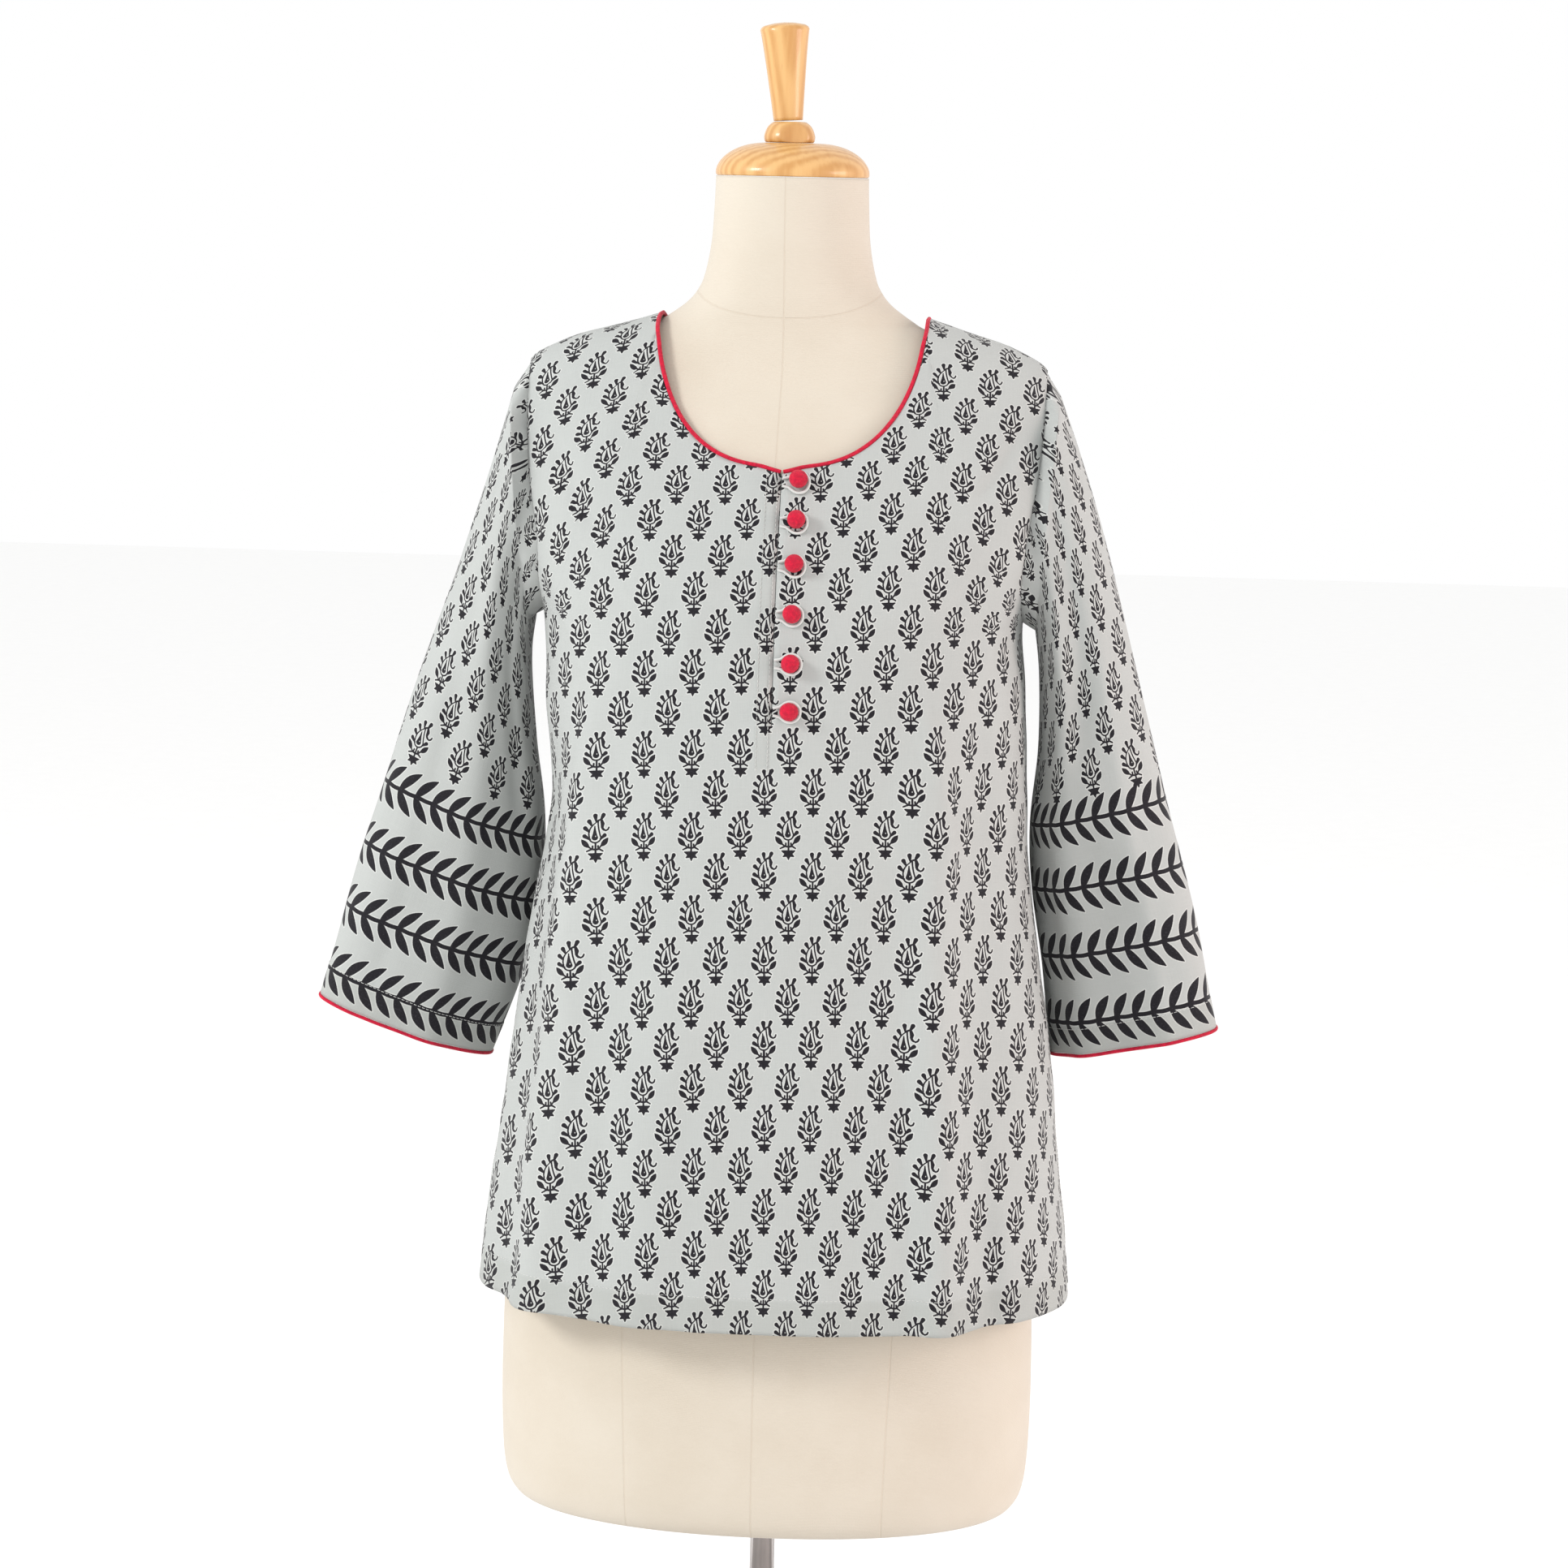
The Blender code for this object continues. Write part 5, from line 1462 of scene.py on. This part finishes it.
@dataclass
class Trimmings:
    """The neckline's piping, the covered buttons and their loops."""

    body: TunicBody
    silk: Material
    cotton: Material
    button_radius: float = 0.0062
    button_offset: float = 0.0118
    pleats: float = 11.0
    pleat_depth: float = 0.030
    dent_depth: float = 0.018
    heights: tuple[float, ...] = (0.9385, 0.9125, 0.8845, 0.8530, 0.8212, 0.7895)
    loop_radius: float = 0.0010
    loop_reach: float = 0.0068
    piping_radius: float = 0.0015
    piping_start: float = 0.00135
    beside: float = 0.003

    def stations(self) -> list[tuple[Array, Array]]:
        """Return pairs of a point on the neckline and a point of the cloth beside it."""
        body, beside = self.body, self.beside
        first = self.piping_start / body.neck_half_width
        turn = 2.0 / math.pi * math.asin(first ** (body.neck_power / 2.0))
        start = body.neck_part * (1.0 - (1.0 - turn) ** (1.0 / body.neck_spread))
        inner = np.linspace(start, body.neck_part * 0.97, 60)
        pairs = []
        for face, parts in ((Face.FRONT, -inner), (Face.BACK, -inner[::-1]), (Face.BACK, inner),
                            (Face.FRONT, inner[::-1])):
            sign = np.sign(parts)
            distance, top_z = body.top_edge(face, parts)
            edge = body.point(face, parts, top_z, plain=True)
            near_z = np.minimum(top_z - beside, body.shoulder_height(distance + beside, sign) - 0.0003)
            swell = body.bulge((distance + beside) / body.half_width(near_z, sign), near_z)
            depth = body.levels.read(face.name.lower(), near_z)
            x = body.centre_x + sign * (distance + beside)
            near = np.stack([x, face.value * depth * swell, near_z], axis=-1)
            pairs += list(zip(edge, near))
        return pairs

    def build_neck_piping(self) -> Piece:
        """Build the red piping round the neckline, open at the button opening."""
        stations = self.stations()
        path = []
        for index, (edge, near) in enumerate(stations):
            run = stations[min(index + 1, len(stations) - 1)][0] - stations[max(index - 1, 0)][0]
            run = unit(run)
            away = edge - near
            away = unit(away - run * float(away @ run))
            outwards = np.cross(run, away)
            centre = np.array((self.body.centre_x, 0.0, edge[2] - self.body.neck_half_width))
            if outwards @ (edge - centre) < 0.0:
                outwards = -outwards
            ease = 1.0 - 0.75 * float(smooth_step((edge[2] - 1.026) / 0.014))
            path.append(edge + away * (self.piping_radius * ease) - outwards * 0.5 * WALL)
        cord = tube("neck_cord", np.array(path), self.piping_radius, self.silk, sides=12)
        return settle(cord, "neck_piping")

    def build_button(self, number: int, z: float) -> Piece:
        """Build one covered ball, gathered where it meets the cloth."""
        x = self.body.centre_x + self.button_offset
        centre = self.body.on_front(x, np.array([z]), self.button_radius + SEAM_GAP)[0]
        seat = self.body.on_front(x, np.array([z]), 0.0)[0]
        axis = Vector(centre - seat).normalized()
        shape = bmesh.new()
        bmesh.ops.create_uvsphere(shape, u_segments=36, v_segments=24, radius=self.button_radius)
        for vertex in shape.verts:
            angle = math.atan2(vertex.co.y, vertex.co.x) + 0.7 * number
            height = vertex.co.z / self.button_radius
            pleat = self.pleat_depth * math.sin(self.pleats * angle) * min(1.0, max(0.0, 0.25 - height))
            dent = self.dent_depth * math.sin(2.0 * angle + number) * (1.0 - abs(height))
            vertex.co *= 1.0 + pleat + dent - 0.04 * max(0.0, height) ** 4
        turn = Vector((0.0, 0.0, 1.0)).rotation_difference(axis).to_matrix().to_4x4()
        shape.transform(Matrix.Translation(centre) @ turn)
        mesh = bpy.data.meshes.new(f"covered_button_{number}")
        shape.to_mesh(mesh)
        shape.free()
        mesh.materials.append(self.silk)
        mesh.shade_smooth()
        return settle(link(mesh.name, mesh), f"button_{number}")

    def build_loop(self, number: int, z: float) -> Piece:
        """Build one rouleau loop from the opening's edge round its button."""
        x = self.body.centre_x + self.button_offset + 0.0003
        z = z - 0.0006
        start = self.body.centre_x + 0.0007
        reach = self.loop_reach
        turn = np.radians(np.linspace(132.0, -132.0, 34))
        neck = x - 1.05 * reach
        xs = np.concatenate([[start, neck], x + reach * np.cos(turn), [neck, start]])
        zs = np.concatenate([[z + 0.36 * reach, z + 0.48 * reach], z + reach * np.sin(turn),
                             [z - 0.48 * reach, z - 0.36 * reach]])
        path = self.body.on_front(xs, zs, self.loop_radius + 0.0004)
        loop = tube(f"rouleau_loop_{number}", path, self.loop_radius, self.cotton)
        return settle(loop, f"button_loop_{number}")

    def build(self) -> None:
        """Build every trimming."""
        self.build_neck_piping()
        for number, z in enumerate(self.heights, start=1):
            self.build_button(number, z)
            self.build_loop(number, z)


@dataclass
class DressForm:
    """The limbless form under its knitted cover, with its wooden cap and its stand."""

    jersey: Material
    wood: Material
    steel: Material
    enamel: Material
    sides: int = 224
    neck_rim_z: float = 1.1400
    cap_radius: float = 0.0526
    cap_top_z: float = 1.1630
    cap_flat: float = 0.017
    cap_edge: float = 0.003
    chip: Triple = (0.30, -0.95, 0.10)
    chip_reach: float = 0.0150
    bead_x: float = -0.0026
    bead_height: float = 0.0140
    handle_height: float = 0.0660
    handle_foot: float = 0.0100
    handle_top: float = 0.0168
    handle_lean: float = math.radians(-3.4)
    base_radius: float = 0.170
    base_thickness: float = 0.012
    boss_radius: float = 0.021
    boss_top_z: float = 0.030
    pole_radius: float = 0.0089
    form_foot_z: float = 0.202
    levels: Table = Table(
        ("z", "half_width", "front", "back", "power"),
        (
            (0.2020, 0.1640, 0.0900, 0.0900, 2.15),
            (0.2034, 0.1740, 0.0975, 0.0975, 2.15),
            (0.2085, 0.1805, 0.1035, 0.1035, 2.15),
            (0.2170, 0.1848, 0.1075, 0.1075, 2.15),
            (0.2320, 0.1875, 0.1105, 0.1105, 2.15),
            (0.2600, 0.1890, 0.1120, 0.1120, 2.15),
            (0.3000, 0.1893, 0.1130, 0.1130, 2.15),
            (0.3600, 0.1875, 0.1125, 0.1140, 2.15),
            (0.4300, 0.1805, 0.1115, 0.1120, 2.15),
            (0.5000, 0.1680, 0.1060, 0.0990, 2.15),
            (0.5800, 0.1480, 0.0990, 0.0800, 2.20),
            (0.6600, 0.1345, 0.0950, 0.0670, 2.20),
            (0.7400, 0.1385, 0.1040, 0.0700, 2.25),
            (0.8000, 0.1500, 0.1190, 0.0800, 2.30),
            (0.8500, 0.1570, 0.1220, 0.0880, 2.30),
            (0.9000, 0.1630, 0.1085, 0.0930, 2.30),
            (0.9450, 0.1685, 0.0880, 0.0920, 2.30),
            (0.9800, 0.1730, 0.0650, 0.0815, 2.20),
            (0.9970, 0.1720, 0.0520, 0.0710, 2.10),
            (1.0070, 0.1680, 0.0462, 0.0630, 2.05),
            (1.0165, 0.1565, 0.0430, 0.0560, 2.00),
            (1.0250, 0.1350, 0.0415, 0.0505, 2.00),
            (1.0325, 0.1110, 0.0410, 0.0465, 2.00),
            (1.0392, 0.0920, 0.0410, 0.0450, 2.00),
            (1.0435, 0.0850, 0.0414, 0.0452, 2.00),
            (1.0482, 0.0780, 0.0420, 0.0456, 2.00),
            (1.0535, 0.0710, 0.0428, 0.0462, 2.00),
            (1.0600, 0.0650, 0.0437, 0.0470, 2.00),
            (1.0700, 0.0597, 0.0448, 0.0484, 2.00),
            (1.0940, 0.0547, 0.0485, 0.0505, 2.00),
            (1.1200, 0.0530, 0.0510, 0.0515, 2.00),
            (1.1400, 0.0523, 0.0522, 0.0522, 2.00),
        ),
    )

    def build_cover(self) -> Piece:
        """Build the covered form as one closed, smooth body."""
        heights = np.concatenate([
            np.linspace(0.2020, 0.2170, 16), np.linspace(0.2200, 0.4600, 46),
            np.linspace(0.4700, 0.9600, 60), np.linspace(0.9650, 1.0700, 90),
            np.linspace(1.0730, 1.1400, 30)])
        angles = np.linspace(0.0, math.tau, self.sides, endpoint=False)[:, None]
        width, front, back, power = (
            self.levels.read(column, heights)[None, :] for column in self.levels.columns[1:])
        across, along = rounded(np.cos(angles), power), rounded(np.sin(angles), power)
        depth = np.where(along > 0.0, back, front)
        parts = np.broadcast_arrays(width * across, depth * along, heights[None, :])
        points = np.stack(parts, axis=-1)
        columns, rows = points.shape[:2]
        faces = grid_faces(columns, rows, True)
        faces.append(tuple(column * rows for column in reversed(range(columns))))
        faces.append(tuple(column * rows + rows - 1 for column in range(columns)))
        cover = solid_piece("dress_form_cover", points.reshape(-1, 3).tolist(), faces, self.jersey)
        return settle(cover, "dress_form")

    def build_cap(self) -> None:
        """Build the turned cap, its bead and the leaning handle."""
        rim = self.neck_rim_z + SEAM_GAP
        dome = self.cap_top_z - rim
        flat, edge = self.cap_flat, self.cap_edge
        profile = [(0.0, dome), (flat, dome)]
        for angle in np.linspace(0.0, 0.5 * math.pi, 40)[1:]:
            radius = flat + (self.cap_radius - flat) * math.sin(angle) ** 0.92
            profile.append((radius, edge + (dome - edge) * max(0.0, math.cos(angle)) ** 1.15))
        profile += [(self.cap_radius, 0.0012), (self.cap_radius - 0.0006, 0.0003)]
        profile += [(self.cap_radius - 0.0014, 0.0), (0.0, 0.0)]
        cap = turned_piece("turned_cap", np.array(profile), (0.0, 0.0, rim), self.wood, 128)
        settle(cap, "cap")

        bead = [(0.0, 0.0140), (0.0104, 0.0140), (0.0114, 0.0138), (0.0135, 0.0122), (0.0148, 0.0109),
                (0.0158, 0.0092), (0.0166, 0.0074), (0.0172, 0.0055), (0.0175, 0.0038),
                (0.0174, 0.0022), (0.0170, 0.0008), (0.0162, 0.0), (0.0, 0.0)]
        seat = (self.bead_x, 0.0, self.cap_top_z + SEAM_GAP)
        ring = turned_piece("turned_bead", np.array(bead), seat, self.wood, 96)
        chipped = Vector(self.chip).normalized()
        for vertex in ring.data.vertices:
            over = (vertex.co - Vector(seat)).dot(chipped) - self.chip_reach
            if over > 0.0:
                vertex.co -= chipped * over
        settle(ring, "cap_bead")

        crown = [(0.0, 0.0), (0.45, 0.0006), (0.84, 0.0020), (0.95, 0.0032), (1.0, 0.0048)]
        handle = [(self.handle_top * part, self.handle_height - fall) for part, fall in crown]
        shoulder = self.handle_height - crown[-1][1]
        for share in np.linspace(0.0, 1.0, 26)[1:]:
            radius = self.handle_top - (self.handle_top - self.handle_foot) * share**0.85
            handle.append((radius, shoulder * (1.0 - share)))
        handle.append((0.0, 0.0))
        lift = self.handle_foot * math.sin(abs(self.handle_lean)) + SEAM_GAP
        foot = (self.bead_x - 0.0012, 0.0, self.cap_top_z + SEAM_GAP + self.bead_height + lift)
        grip = turned_piece("turned_handle", np.array(handle), foot, self.wood, 96, self.handle_lean)
        settle(grip, "cap_handle")

    def build_stand(self) -> None:
        """Build the pole and the round base with its boss."""
        boss, base = self.boss_radius, self.base_radius
        top, thick = self.boss_top_z, self.base_thickness
        plate = [(0.0, top), (boss - 0.0022, top), (boss - 0.0008, top - 0.0007)]
        plate += [(boss, top - 0.0022), (boss, thick + 0.0026), (boss + 0.0008, thick + 0.0008)]
        plate += [(boss + 0.0026, thick), (base - 0.0060, thick), (base - 0.0030, thick - 0.0006)]
        plate += [(base - 0.0010, thick - 0.0018), (base, thick - 0.0042), (base, 0.0014)]
        plate += [(base - 0.0006, 0.0005), (base - 0.0016, 0.0), (0.0, 0.0)]
        disc = turned_piece("enamel_base", np.array(plate), (0.0, 0.0, 0.0), self.enamel, 160)
        settle(disc, "base_plate")

        foot = top + SEAM_GAP
        height = self.form_foot_z - SEAM_GAP - foot
        radius = self.pole_radius
        pole = [(0.0, height), (radius + 0.0007, height), (radius + 0.0011, height - 0.0006)]
        pole += [(radius + 0.0011, height - 0.0030), (radius + 0.0006, height - 0.0036)]
        pole += [(radius, height - 0.0040), (radius, 0.0006), (radius - 0.0005, 0.0), (0.0, 0.0)]
        rod = turned_piece("bright_pole", np.array(pole), (0.0, 0.0, foot), self.steel, 64)
        settle(rod, "pole")

    def build(self) -> None:
        """Build the form, its cap and its stand."""
        self.build_cover()
        self.build_cap()
        self.build_stand()


@dataclass
class Studio:
    """The pale floor, the soft lights and the camera at the photograph's angle."""

    distance: float = 2.75
    height: float = 1.14
    azimuth: float = math.radians(4.2)
    tilt: float = math.radians(8.691)
    roll: float = math.radians(1.27)
    lens: float = 91.17
    shift_x: float = 0.0031
    aim: Triple = (0.0, 0.0, 0.72)
    lights: tuple[tuple[str, Triple, float, float, Triple], ...] = (
        ("key_light", (-2.4, -1.7, 2.2), 0.8, 58.0, (1.0, 0.995, 0.985)),
        ("fill_light", (2.5, -0.6, 1.2), 1.2, 30.0, (1.0, 0.80, 0.76)),
    )

    def build_camera(self) -> None:
        """Set the camera."""
        sine, cosine = math.sin(self.azimuth), math.cos(self.azimuth)
        back = Vector((sine * math.cos(self.tilt), -cosine * math.cos(self.tilt), math.sin(self.tilt)))
        right = Vector((cosine, sine, 0.0))
        up = back.cross(right)
        turned_right = right * math.cos(self.roll) + up * math.sin(self.roll)
        turned_up = up * math.cos(self.roll) - right * math.sin(self.roll)
        lens = bpy.data.cameras.new("studio_camera")
        lens.sensor_width = 36.0
        lens.lens = self.lens
        lens.shift_x = self.shift_x
        camera = link("studio_camera", lens)
        matrix = Matrix((turned_right, turned_up, back)).transposed().to_4x4()
        matrix.translation = Vector((self.distance * sine, -self.distance * cosine, self.height))
        camera.matrix_world = matrix
        bpy.context.scene.camera = camera

    def build_floor(self) -> None:
        """Build the flat, pale floor."""
        corners = [(-9.0, -9.0, 0.0), (9.0, -9.0, 0.0), (9.0, 9.0, 0.0), (-9.0, 9.0, 0.0)]
        paint = PlainPaint("studio_paint", (0.97, 0.97, 0.965), 0.9, 30.0).material()
        solid_piece("studio_floor", corners, [(0, 1, 2, 3)], paint)

    def add_light(self, name: str, place: Triple, size: float,
                  power: float, colour: Triple) -> None:
        """Add one soft light that faces the tunic."""
        lamp = bpy.data.lights.new(name, "AREA")
        lamp.shape = "SQUARE"
        lamp.size = size
        lamp.energy = power
        lamp.color = colour
        item = link(name, lamp)
        item.location = place
        toward = Vector(self.aim) - Vector(place)
        item.rotation_euler = toward.to_track_quat("-Z", "Y").to_euler()

    def build(self) -> None:
        """Build the whole studio."""
        self.build_camera()
        self.build_floor()
        bpy.context.scene.view_settings.view_transform = "Standard"
        world = bpy.data.worlds.new("studio_world")
        bpy.context.scene.world = world
        world.use_nodes = True
        ground = world.node_tree.nodes["Background"]
        ground.inputs["Color"].default_value = (1.0, 1.0, 1.0, 1.0)
        ground.inputs["Strength"].default_value = 1.0
        for light in self.lights:
            self.add_light(*light)


def main() -> None:
    """Build the tunic, the form that it hangs on and the studio round them."""
    logging.basicConfig(level=logging.INFO, format="%(message)s")
    front = PrintedCotton("printed_cotton_body").material()
    reverse = PrintedCotton("printed_cotton_reverse", reverse=True).material()
    sleeve_block = Block(column=35.0, row=27.9)
    right_leaves = (Stroke(0.2, 0.3, 12.4, 16.4, 1.1, 0.3, 2.35, -1.2),
                    Stroke(-0.3, -0.3, 9.9, -17.2, 1.1, 0.3, 2.4, 1.2))
    bordered = {
        Side.LEFT: PrintedCotton("printed_cotton_sleeve_left", (0.0307, 0.2290),
                                 Vine(), block=sleeve_block).material(),
        Side.RIGHT: PrintedCotton("printed_cotton_sleeve_right", (0.0030, 0.2270),
                                  Vine((22.5, 71.0, 119.0, 167.0), leaves=right_leaves),
                                  block=sleeve_block).material(),
    }
    silk = RedSilk().material()
    plain = PlainPaint("rouleau_cotton", (0.60, 0.62, 0.60), 0.85, 900.0).material()
    thread = PlainPaint("sewing_thread", (0.58, 0.59, 0.57), 0.7, 1500.0).material()

    seamstress = Seamstress(thread)
    body = TunicBody(front, reverse, seamstress)
    DressForm(CreamJersey().material(), HoneyWood().material(), BrightSteel().material(),
              GreyEnamel().material()).build()
    for face in Face:
        body.build_panel(face)
    body.build_underlap()
    body.sew_rows()
    for side in Side:
        sleeve = Sleeve(side, body, bordered[side], reverse)
        sleeve.build()
        sleeve.sew_hem()
        sleeve.build_piping(silk)
    Trimmings(body, silk, plain).build()
    seamstress.sew()
    Studio().build()


if __name__ == "__main__":
    main()
